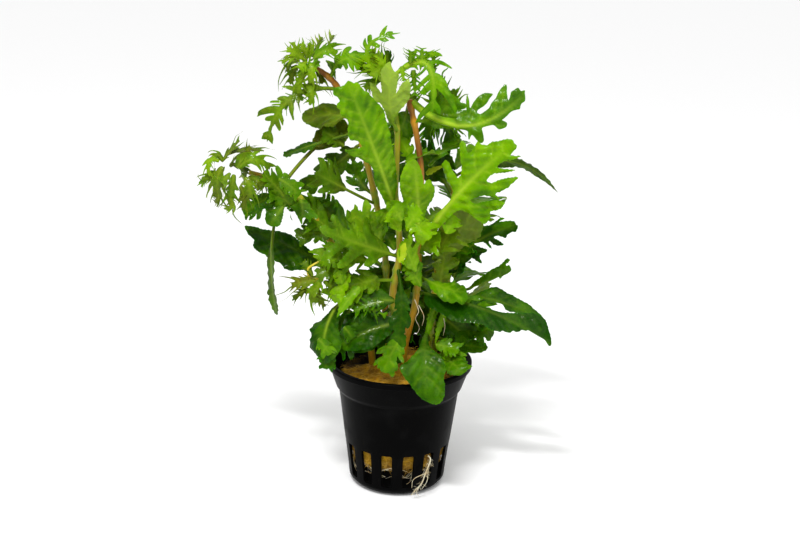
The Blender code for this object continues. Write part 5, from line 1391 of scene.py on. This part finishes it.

# %% [markdown]
# ## Young leaves
#
# A shoot's tip is a tuft of small, finely cut leaves that still curl inwards. They are the same blades with
# pointed fingers and a wider net, joined into one mesh for each tuft. Their feet, middles and tips were
# put down on the photograph, which has more of them than can be told apart.

# %% Tufts
# Each row: the pixels of a leaf's foot, middle and tip, their three depths, half of its width, its kind,
# tone and bronze.
TUFTS = {
    "young_leaves_left": [
        ((222, 163), (229, 152), (240, 138), (-12, -12, -12), 2.6, "sharp", 0.35, 0.4),
        ((226, 157), (243, 150), (266, 150), (-13, -12, -13), 2.8, "sharp", 0.25, 0.5),
        ((240, 154), (247, 152), (250, 145), (-12, -13, -13), 1.8, "sharp", 0.25, 0.5),
        ((236, 172), (243, 159), (258, 158), (-16, -17, -15), 1.7, "lance", 0.6, 0.4),
        ((223, 163), (211, 160), (211, 177), (-16, -17, -18), 1.8, "sharp", 0.8, 0.3),
        ((224, 163), (219, 155), (211, 160), (-12, -12, -12), 2.2, "sharp", 0.3, 0.4),
        ((219, 173), (209, 176), (200, 190), (-16, -15, -14), 1.7, "sharp", 0.55, 0.3),
        ((213, 177), (206, 180), (203, 175), (-16, -15, -14), 1.3, "sharp", 0.45, 0.3),
        ((223, 165), (217, 180), (220, 200), (-18, -20, -18), 3.6, "sharp", 0.35, 0.4),
        ((219, 188), (217, 197), (213, 202), (-19, -19, -17), 1.7, "sharp", 0.2, 0.4),
        ((224, 194), (231, 206), (221, 209), (-19, -20, -18), 1.7, "sharp", 0.65, 0.4),
        ((234, 172), (233, 189), (231, 206), (-20, -21, -18), 2.6, "sharp", 0.45, 0.3),
        ((238, 184), (244, 196), (241, 211), (-18, -19, -18), 2.0, "sharp", 0.15, 0.4),
        ((243, 176), (249, 187), (250, 198), (-18, -20, -19), 2.8, "sharp", 0.5, 0.4),
        ((246, 178), (258, 182), (256, 192), (-15, -17, -16), 2.6, "sharp", 0.3, 0.4),
        ((236, 172), (252, 160), (270, 168), (-16, -18, -15), 3.6, "sharp", 0.55, 0.2),
        ((262, 170), (266, 180), (258, 188), (-13, -15, -14), 2.6, "sharp", 0.4, 0.3),
        ((228, 165), (238, 166), (248, 176), (-8, -8, -8), 4.0, "sharp", 0.1, 0.3),
        ((226, 165), (222, 178), (228, 192), (-6, -5, -8), 4.2, "sharp", 0.05, 0.3),
        ((232, 168), (236, 160), (246, 158), (-8, -4, -1), 3.4, "sharp", 0.3, 0.3),
        ((230, 172), (226, 180), (222, 184), (-16, -23, -25), 2.6, "sharp", 0.5, 0.3),
        ((240, 172), (246, 182), (250, 190), (-10, -3, 1), 3.4, "sharp", 0.3, 0.3),
        ((216, 168), (213, 178), (216, 190), (-10, -5, -3), 2.8, "sharp", 0.3, 0.3)],
    "young_leaves_upper_left": [
        ((306, 60), (297, 52), (293, 41), (-6, -8, -7), 1.9, "sharp", 0.75, 0.3),
        ((306, 60), (296, 54), (286, 46), (-6, -9, -9), 1.9, "sharp", 0.8, 0.3),
        ((305, 61), (294, 57), (279, 65), (-6, -9, -10), 1.6, "sharp", 0.6, 0.4),
        ((307, 60), (303, 50), (299, 43), (-5, -7, -6), 1.8, "sharp", 0.7, 0.3),
        ((308, 60), (310, 50), (307, 43), (-4, -4, -4), 2.3, "sharp", 0.6, 0.2),
        ((311, 58), (316, 46), (322, 36), (-1, 0, 0), 2.6, "sharp", 0.25, 0.2),
        ((322, 54), (328, 45), (334, 33), (-1, 0, 0), 2.1, "sharp", 0.3, 0.1),
        ((303, 62), (291, 62), (289, 73), (-3, -3, -4), 2.4, "sharp", 0.1, 0.2),
        ((300, 66), (292, 72), (290, 85), (-4, -5, -6), 2.3, "sharp", 0.15, 0.3),
        ((302, 62), (285, 58), (287, 71), (-2, 0, -1), 1.9, "sharp", 0.1, 0.2),
        ((308, 64), (313, 73), (309, 85), (-10, -12, -12), 2.6, "sharp", 0.75, 0.3),
        ((308, 70), (300, 82), (299, 96), (-10, -12, -12), 2.2, "sharp", 0.6, 0.3),
        ((304, 85), (311, 93), (309, 106), (-10, -12, -12), 2.1, "sharp", 0.65, 0.2),
        ((307, 84), (313, 85), (319, 92), (-8, -9, -9), 2.2, "sharp", 0.4, 0.2),
        ((298, 84), (298, 92), (303, 102), (-9, -10, -10), 2.0, "sharp", 0.5, 0.2),
        ((325, 61), (332, 67), (335, 81), (-2, -3, -3), 1.5, "lance", 0.45, 0.0),
        ((312, 66), (319, 74), (321, 85), (-3, -2, -2), 2.6, "sharp", 0.2, 0.5),
        ((312, 62), (325, 52), (340, 53), (-8, -9, -7), 3.2, "sharp", 0.55, 0.0),
        ((306, 62), (300, 58), (296, 52), (-3, 4, 8), 3.0, "sharp", 0.4, 0.2),
        ((308, 62), (300, 70), (296, 78), (-3, 2, 5), 2.4, "sharp", 0.3, 0.2),
        ((309, 60), (316, 56), (322, 50), (0, 6, 8), 3.2, "sharp", 0.35, 0.1),
        ((306, 62), (302, 64), (299, 70), (-8, -14, -15), 2.2, "sharp", 0.8, 0.2)],
    "young_leaves_top": [
        ((384, 75), (374, 64), (365, 55), (-6, -8, -7), 3.6, "sharp", 0.85, 0.2),
        ((385, 72), (377, 60), (371, 49), (-6, -7, -5), 2.6, "sharp", 0.8, 0.2),
        ((382, 78), (370, 72), (359, 69), (-5, -6, -5), 3.0, "sharp", 0.65, 0.2),
        ((388, 72), (387, 60), (389, 50), (-1, 0, 0), 3.0, "sharp", 0.1, 0.0),
        ((384, 80), (372, 82), (363, 90), (-4, -5, -4), 3.2, "sharp", 0.5, 0.2),
        ((386, 72), (382, 62), (377, 53), (-8, -9, -8), 1.8, "sharp", 0.95, 0.1),
        ((383, 76), (366, 66), (353, 62), (-2, -2, -2), 3.0, "sharp", 0.5, 0.2),
        ((386, 74), (377, 72), (368, 78), (-8, -12, -13), 2.4, "sharp", 0.75, 0.2),
        ((386, 72), (384, 64), (381, 58), (-1, 5, 8), 3.2, "sharp", 0.35, 0.1),
        ((382, 74), (374, 70), (366, 70), (-1, 5, 8), 3.2, "sharp", 0.35, 0.1)],
    "young_leaves_low_left": [
        ((318, 280), (305, 282), (292, 285), (-14, -16, -15), 3.2, "sharp", 0.5, 0.9),
        ((311, 288), (301, 293), (290, 301), (-15, -16, -15), 1.5, "sharp", 0.2, 0.3),
        ((318, 284), (319, 296), (327, 308), (-15, -16, -15), 1.9, "sharp", 0.15, 0.5),
        ((318, 283), (312, 293), (317, 304), (-15, -18, -17), 2.6, "sharp", 0.45, 0.4),
        ((322, 280), (331, 288), (335, 302), (-14, -16, -15), 2.6, "sharp", 0.5, 0.2),
        ((314, 279), (309, 268), (301, 261), (-14, -14, -13), 1.7, "sharp", 0.35, 0.2),
        ((318, 270), (325, 264), (320, 256), (-14, -14, -13), 1.7, "sharp", 0.5, 0.2),
        ((320, 276), (311, 281), (300, 291), (-9, -8, -8), 3.6, "sharp", 0.1, 0.3),
        ((324, 276), (332, 282), (339, 290), (-13, -14, -13), 2.6, "sharp", 0.4, 0.2),
        ((320, 278), (316, 286), (310, 292), (-14, -21, -22), 2.2, "sharp", 0.55, 0.3),
        ((322, 278), (318, 284), (314, 288), (-12, -5, -2), 3.0, "sharp", 0.3, 0.2)],
    "young_leaves_right": [
        ((447, 120), (442, 100), (440, 77), (12, 12, 11), 3.0, "sharp", 0.1, 0.1),
        ((448, 118), (452, 102), (453, 88), (12, 12, 12), 3.0, "sharp", 0.3, 0.0),
        ((446, 122), (453, 112), (460, 108), (11, 10, 10), 3.4, "sharp", 0.45, 0.0),
        ((444, 120), (436, 104), (431, 92), (12, 11, 10), 3.0, "sharp", 0.2, 0.1),
        ((446, 120), (450, 114), (452, 106), (13, 18, 21), 3.0, "sharp", 0.3, 0.0),
        ((446, 121), (440, 116), (436, 112), (13, 17, 18), 2.8, "sharp", 0.3, 0.0)],
}
MORE_BRONZE = 0.2
SMALL_CUP = 0.25
WIDE_SPACING = 0.9
FIRST_SEED = 11
YOUNG_LOOK = {**PLAIN_LOOK, "tooth": 0.2, "pitch": 1.3, "wave": 0.6, "spread": 0.2, "pucker": 0.1,
              "uneven": 0.5, "pointed": True, "stalk_half": 0.5}


def small_blade(foot, tip, half_width, kind, number, tone, arch, look, face, middle=None):
    """A small leaf from a foot to a tip, by way of a middle, or else arched up by a share of its reach."""
    foot, tip = np.array(foot, float), np.array(tip, float)
    reach = tip - foot
    bend = foot + 0.5 * reach + (0, 0, arch * np.linalg.norm(reach)) if middle is None else middle
    look = {**look, "tone": tone}
    length = midrib(foot, bend, tip, face, 0.0)[3]
    rim = formula_rim(KINDS[kind], length, half_width, number, look)
    stalk = KINDS[kind]["stalk"]
    return blade(foot, bend, tip, face, rim, stalk, SMALL_CUP, number, look, spacing=WIDE_SPACING)


def tuft_shape(name, seed):
    """The tuft's leaves. Each faces the light and outwards, by the side of the tuft that it grows on."""
    random = np.random.default_rng(seed)
    heart = np.mean([seen_at(row[0], row[3][0]) for row in TUFTS[name]], axis=0)
    shapes = []
    for number, (*pixels, depths, half_width, kind, tone, bronze) in enumerate(TUFTS[name]):
        foot, middle, tip = (seen_at(pixel, depth) for pixel, depth in zip(pixels, depths))
        outwards = middle - heart
        face = outwards * (0.1, 0.15, 0.1) + (0, -0.9, 0.7) + random.uniform(-0.35, 0.35, 3)
        look = {**YOUNG_LOOK, "bronze": bronze + MORE_BRONZE, "droop": random.uniform(-0.5, 0.7)}
        shapes.append(small_blade(foot, tip, half_width, kind, number, tone, 0.0, look, face, middle))
    return joined(shapes)


tufts = [build(name + "_blades", tuft_shape(name, FIRST_SEED + i), YOUNG_LEAF, [name])
         for i, name in enumerate(TUFTS)]
print("tufts:", triangles_in(tufts), "triangles")

# %% [markdown]
# ## Small leaves between the large ones
#
# A cutting bears a pair of leaves at every node, and the next pair is turned by a quarter, so the bunch is
# full of smaller leaves. The ones at the front were put down on the photograph; some of the dark ones are
# painted shade, dark leaves that fill places where the bunch shows only shade and no single leaf can be
# told apart. Those at the back are out of its sight, and are laid out by that rule of pairs, with some
# chance.

# %% Small leaves at the front
# Each row: the pixels of a leaf's foot and tip, their two depths, half of its width, its kind, tone and
# bronze.
SMALL_LEAVES = [
    ((386, 252), (350, 212), (-10, -14), 5.0, "lobed", 0.55, 0.3),
    ((384, 248), (370, 210), (-8, -12), 3.2, "fine", 0.5, 0.2),
    ((372, 262), (326, 262), (-12, -16), 5.0, "pinnate", 0.5, 0.3),
    ((352, 240), (318, 264), (-10, -14), 4.2, "lobed", 0.45, 0.3),
    ((332, 232), (306, 214), (-6, -8), 6.0, "lobed", 0.3, 0.2),
    ((340, 234), (296, 236), (-6, -10), 3.6, "lobed", 0.2, 0.2),
    ((352, 272), (334, 303), (-14, -18), 2.6, "lobed", 0.95, 0),
    ((352, 268), (316, 276), (-12, -16), 4.0, "pinnate", 0.25, 0.3),
    ((389, 264), (364, 298), (-10, -12), 3.2, "stalked", 0.5, 0.4),
    # Painted shade: a dark leaf that fills the shade behind the stems.
    ((402, 262), (374, 292), (6, 6), 6.0, "lobed", 0.0, 0.2),
    ((402, 303), (350, 308), (-12, -16), 5.5, "lobed", 0.0, 0),
    ((402, 322), (338, 347), (-15, -20), 6.2, "oval", 0.0, 0),
    ((402, 336), (384, 374), (-17, -22), 4.4, "lobed", 0.45, 0),
    ((368, 328), (336, 350), (-10, -14), 5.0, "lobed", 0.1, 0),
    ((404, 330), (372, 345), (-10, -15), 4.5, "lobed", 0.1, 0),
    ((436, 352), (466, 371), (-6, -14), 3.2, "lobed", 0.5, 0),
    ((432, 344), (458, 352), (-8, -12), 3.2, "lobed", 0.5, 0),
    ((440, 318), (468, 342), (-2, -4), 5.0, "lobed", 0.1, 0),
    ((400, 266), (405, 243), (-16, -16), 1.3, "lance", 1.3, 0),
    ((424, 292), (404, 262), (-8, -12), 4.0, "lobed", 0.6, 0),
    ((440, 292), (446, 250), (0, -3), 4.6, "lobed", 0.4, 0.6),
    ((432, 262), (456, 228), (-4, -6), 6.0, "large_lobed", 0.5, 0.6),
    ((452, 286), (464, 240), (6, 4), 5.0, "lobed", 0.05, 0),
    ((418, 276), (400, 244), (-10, -14), 4.6, "lobed", 0.9, 0),
    ((412, 160), (398, 138), (0, 0), 3.6, "lobed", 0.8, 0),
    ((412, 148), (398, 120), (4, 4), 4.0, "lobed", 0.35, 0.5),
    ((423, 177), (447, 167), (2, 2), 0.5, "lance", 1.4, 0),
    ((420, 185), (455, 160), (8, 8), 5.5, "lobed", 0.0, 0.1),
    ((421, 70), (422, 46), (-6, -8), 3.4, "lacy", 0.6, 0),
    ((409, 64), (411, 50), (-7, -8), 2.6, "lacy", 0.5, 0.1),
    ((432, 78), (434, 50), (-6, -7), 2.8, "lacy", 0.4, 0),
    ((403, 66), (403, 83), (-10, -12), 2.0, "lacy", 0.5, 0.1),
    ((414, 68), (415, 97), (-9, -10), 3.0, "lacy", 0.35, 0),
    ((436, 104), (428, 142), (4, 6), 4.0, "sharp", 0.25, 0),
    ((444, 112), (452, 147), (6, 8), 4.0, "sharp", 0.3, 0),
    ((440, 118), (458, 124), (4, 4), 4.0, "sharp", 0.45, 0),
    ((434, 100), (446, 84), (4, 2), 3.6, "sharp", 0.3, 0),
    ((430, 112), (440, 128), (0, 2), 3.4, "sharp", 0.5, 0),
    ((412, 112), (412, 92), (2, 4), 4.0, "sharp", 0.15, 0.3),
    # The next seven rows are painted shade: dark leaves behind the stems, filling the shade between them.
    ((428, 290), (415, 334), (9, 9), 6.0, "lobed", 0, 0.1),
    ((444, 292), (448, 342), (10, 9), 6.0, "lobed", 0, 0.1),
    ((420, 300), (436, 340), (14, 14), 6.5, "lobed", 0.05, 0.1),
    ((404, 290), (396, 338), (8, 8), 6.5, "lobed", 0, 0.1),
    ((380, 300), (366, 340), (4, 2), 6.0, "lobed", 0, 0.1),
    ((352, 308), (340, 336), (-2, -4), 5.0, "lobed", 0, 0.1),
    ((462, 300), (470, 336), (4, 2), 5.0, "lobed", 0.05, 0.1),
    ((334, 344), (325, 369), (-20, -23), 3.0, "lobed", 0.02, 0),
    ((316, 338), (331, 357), (-24, -24), 2.6, "lobed", 0.4, 0),
    # Painted highlight: this narrow bright blade lies over the curled leaf's folded midrib and paints the
    # bright streak along it.
    ((362, 284), (336, 318), (-17, -23), 1.5, "lance", 0.55, 0),
    ((447, 306), (434, 346), (-4, -6), 0.9, "lance", 0.8, 0),
    ((438, 300), (425, 345), (-2, -4), 1.0, "lance", 0.6, 0),
    ((296, 212), (268, 190), (-12, -17), 3.2, "lobed", 0.35, 0.1),
    ((284, 198), (262, 174), (-14, -18), 2.8, "sharp", 0.35, 0.2),
    ((300, 214), (284, 196), (-8, -12), 4.0, "lobed", 0.05, 0.1),
    ((352, 306), (388, 316), (-18, -17), 2.4, "lacy", 0.35, 0),
    ((386, 302), (350, 312), (-18, -20), 3.2, "lacy", 0.25, 0),
    ((342, 326), (352, 340), (-20, -20), 2.4, "lobed", 0.15, 0),
    ((446, 236), (456, 216), (-12, -12), 3.0, "lobed", 0.7, 0),
    ((404, 224), (392, 206), (-20, -21), 2.6, "spoon", 0.85, 0.1),
    ((406, 232), (420, 208), (-20, -22), 3.0, "lobed", 0.8, 0),
    ((404, 236), (386, 214), (-17, -18), 3.0, "lobed", 0.8, 0.1),
    ((342, 286), (336, 270), (-16, -17), 2.0, "lance", 0.85, 0),
    ((350, 290), (338, 304), (-17, -19), 2.2, "lance", 0.8, 0),
    ((300, 204), (270, 180), (-8, -12), 4.6, "lobed", 0.55, 0.1),
    ((310, 228), (312, 196), (-4, -4), 5.5, "lobed", 0.1, 0.1),
    ((336, 226), (318, 202), (0, -2), 5.5, "lobed", 0.15, 0.1),
    ((300, 96), (278, 112), (-6, -9), 3.2, "fine", 0.55, 0.1),
    ((296, 78), (322, 62), (-5, -7), 3.0, "fine", 0.5, 0),
    ((346, 150), (322, 132), (2, 0), 4.0, "lobed", 0.15, 0.3),
    ((402, 215), (430, 240), (-6, -12), 4.0, "lobed", 0.9, 0),
    ((412, 255), (440, 240), (-2, -8), 4.5, "lobed", 0.65, 0.1),
    ((392, 205), (376, 232), (-4, -8), 3.8, "lobed", 0.5, 0.1),
    ((400, 240), (386, 205), (2, 0), 4.6, "lobed", 0.3, 0.1),
    ((452, 300), (486, 318), (-4, -6), 4.6, "lobed", 0.3, 0),
    ((444, 262), (470, 236), (2, 0), 5.0, "lobed", 0.25, 0),
    ((380, 298), (342, 290), (-4, -8), 4.6, "lobed", 0.3, 0.1),
    ((274, 178), (301, 197), (-19, -20), 2.8, "lobed", 0.3, 0.1),
]
FRONT_ARCH = 0.08
FIRST_IN_FRONT = 60
SMALL_LOOK = {**PLAIN_LOOK, "tooth": 0.45, "pitch": 2.1, "wave": 1.1, "uneven": 0.35}


def front_leaves():
    """The table's small leaves, each turned a little and drooping a little by the sine of its number."""
    shapes = []
    for number, (*pixels, depths, half_width, kind, tone, bronze) in enumerate(SMALL_LEAVES):
        foot, tip = (seen_at(pixel, depth) for pixel, depth in zip(pixels, depths))
        look = {**SMALL_LOOK, "bronze": bronze, "droop": 0.3 * np.sin(2.3 * number)}
        face = (0.35 * np.sin(1.7 * number), -0.8, 0.6)
        shapes.append(small_blade(foot, tip, half_width, kind, FIRST_IN_FRONT + number, tone,
                                  FRONT_ARCH, look, face))
    return joined(shapes)


in_front = build("small_leaves_front", front_leaves(), LEAF_BLADE)
print("small leaves in front:", len(SMALL_LEAVES), "with", triangles_in([in_front]), "triangles")

# %% Small leaves at the back
BACK_NODES = {"stem_upper_left": (58, 118), "stem_right_back": (50, 122), "stem_right": (52, 90),
              "stem_front": (64, 132), "stem_red_centre": (60, 130)}
NODE_STEP = 11.0
BACK_ARCH = 0.12
FIRST_AT_BACK = 120


def back_leaves(seed):
    """Pairs of leaves at even steps up each stem, the ways of a pair opposite, kept where they go back."""
    random = np.random.default_rng(seed)
    shapes = []
    for order, (stem, (low, high)) in enumerate(BACK_NODES.items()):
        for step, height in enumerate(np.arange(low + 2.0 * order, high, NODE_STEP)):
            for turn in (0, 1):
                way = 0.5 * np.pi * step + np.pi * turn + 0.6 * order + random.uniform(-0.3, 0.3)
                reach, rise = random.uniform(13, 22), random.uniform(0.1, 0.7)
                out = np.array([np.cos(way), np.sin(way), rise])
                if out[1] < 0.25:
                    continue
                middle, radius = point_on_stem(stem, height)
                foot = middle + out * (1, 1, 0) * (radius + 0.2)
                kind = ("lobed", "pinnate", "spoon", "lobed")[random.integers(4)]
                bronze, droop = 0.3 * (random.random() < 0.3), random.uniform(-0.4, 0.2)
                half_width, tone = random.uniform(4, 6.5), random.uniform(0.1, 0.6)
                look = {**SMALL_LOOK, "bronze": bronze, "droop": droop}
                face = out * (-0.6, -0.6, 0) + (0, 0, 1)
                shapes.append(small_blade(foot, foot + reach * out, half_width, kind,
                                          FIRST_AT_BACK + len(shapes), tone, BACK_ARCH, look, face))
    return joined(shapes)


at_back = build("small_leaves_back", back_leaves(seed=23), LEAF_BLADE)
print("small leaves at the back:", triangles_in([at_back]), "triangles")

# %% [markdown]
# ## Roots
#
# White roots fill the space under the wool and show through the slots, one hangs out over the pot's side,
# and three thin ones hang in the air from the stems. All are thin tubes along smooth curves, with finer
# hairs on the one that hangs out.

# %% Roots
HANGING_ROOT = [(11.7, -15.8, 16.5), (12.5, -17.8, 15.5), (11, -19.8, 11), (8.5, -20, 6), (6.3, -19.8, 2.2)]
# Each branch: the step along the root where it starts, then two more points.
BRANCHES = [(18, (11.5, -20.6, 8.5), (9.5, -20.9, 5.0)), (24, (6.5, -20.6, 9), (5.8, -21, 5.5)),
            (34, (7.6, -20.4, 3.6), (8.6, -20.6, 2.0))]
ROOT_HAIRS = 70
ROOTS_BELOW = 46


def hanging_root(seed):
    """The root that hangs out: a thin crooked tube, its branches, and short hairs that stand off it."""
    random = np.random.default_rng(seed)
    path = smooth_path(HANGING_ROOT, 12)
    share = np.linspace(0, 1, len(path))
    crook = np.stack([0.5 * np.sin(11 * share), 0 * share, 0.3 * np.sin(17 * share)], axis=1)
    path = path + crook * share[:, None]
    shapes = [tubes(path[None], (0.3 - 0.15 * share)[None], 10, level=(1, 0, 0))]
    for start, bend, tip in BRANCHES:
        shapes.append(tapered([tuple(path[start]), bend, tip], 8, 0.14, 0.06, 8, (1, 0, 0.2)))
    foot = path[random.integers(10, len(path) - 3, ROOT_HAIRS)]
    way = unit(random.normal(size=(ROOT_HAIRS, 3)) * (1, 0.4, 0.6) + (0, -0.3, -0.2))
    t = np.linspace(0, 1, 5)[None, :, None]
    length = random.uniform(0.8, 2.2, ROOT_HAIRS)[:, None, None]
    hairs = foot[:, None] + way[:, None] * t * length - t**2 * (0, 0, 0.5)
    hairs[..., 2] = hairs[..., 2].clip(0.3)
    shapes.append(tubes(hairs, np.full((ROOT_HAIRS, 5), 0.035), 4, level=(0.2, 1, 0.1)))
    return joined(shapes)


AERIAL = [[(5, -9, 76), (6.5, -10, 72), (5.5, -10, 69), (7, -9, 65), (6, -8, 62)],
          [(16, -6, 68), (16.5, -7, 65), (16, -6, 61)], [(6.5, -9, 74), (8.5, -10, 70), (8, -9, 66)]]


def aerial_roots():
    """White roots that a node sends out in the air, down towards the wool."""
    return joined([tapered(points, 8, 0.16, 0.08, 8, (0, 1, 0.3)) for points in AERIAL])


def roots_below(count, seed):
    """Thin roots in the space under the wool: arcs about the pot's axis with waves in height and radius."""
    random = np.random.default_rng(seed)
    t = np.linspace(0, 1, 24)[None, :]
    a = random.uniform(0, 2 * np.pi, count)[:, None] + random.uniform(-1.4, 1.4, count)[:, None] * t
    r = random.uniform(12, 16.3, count)[:, None]
    r = r + 1.2 * np.sin(5 * t + random.uniform(0, 6, count)[:, None])
    start, drop = random.uniform(9.5, 12.0, count)[:, None], random.uniform(2.0, 8.0, count)[:, None]
    z = start - drop * t**0.7 + 0.8 * np.sin(9 * t + random.uniform(0, 6, count)[:, None])
    z = z.clip(1.8, 20)
    r = np.minimum(r, wall_radius(z) - WALL - 0.5)
    paths = np.stack([r * np.sin(a), -r * np.cos(a), z], axis=-1)
    radii = random.uniform(0.12, 0.35, count)[:, None] * (1 - 0.6 * t)
    return tubes(paths, radii, 7, level=(0, 0, 1))


root = build("root_hanging_skin", hanging_root(seed=8), ROOT_SKIN,
             ["root_hanging_outside"])
below = build("roots_under_wool", roots_below(ROOTS_BELOW, seed=3), ROOT_SKIN)
in_air = build("aerial_roots", aerial_roots(), ROOT_SKIN)
print("roots:", triangles_in([root, below, in_air]), "triangles")
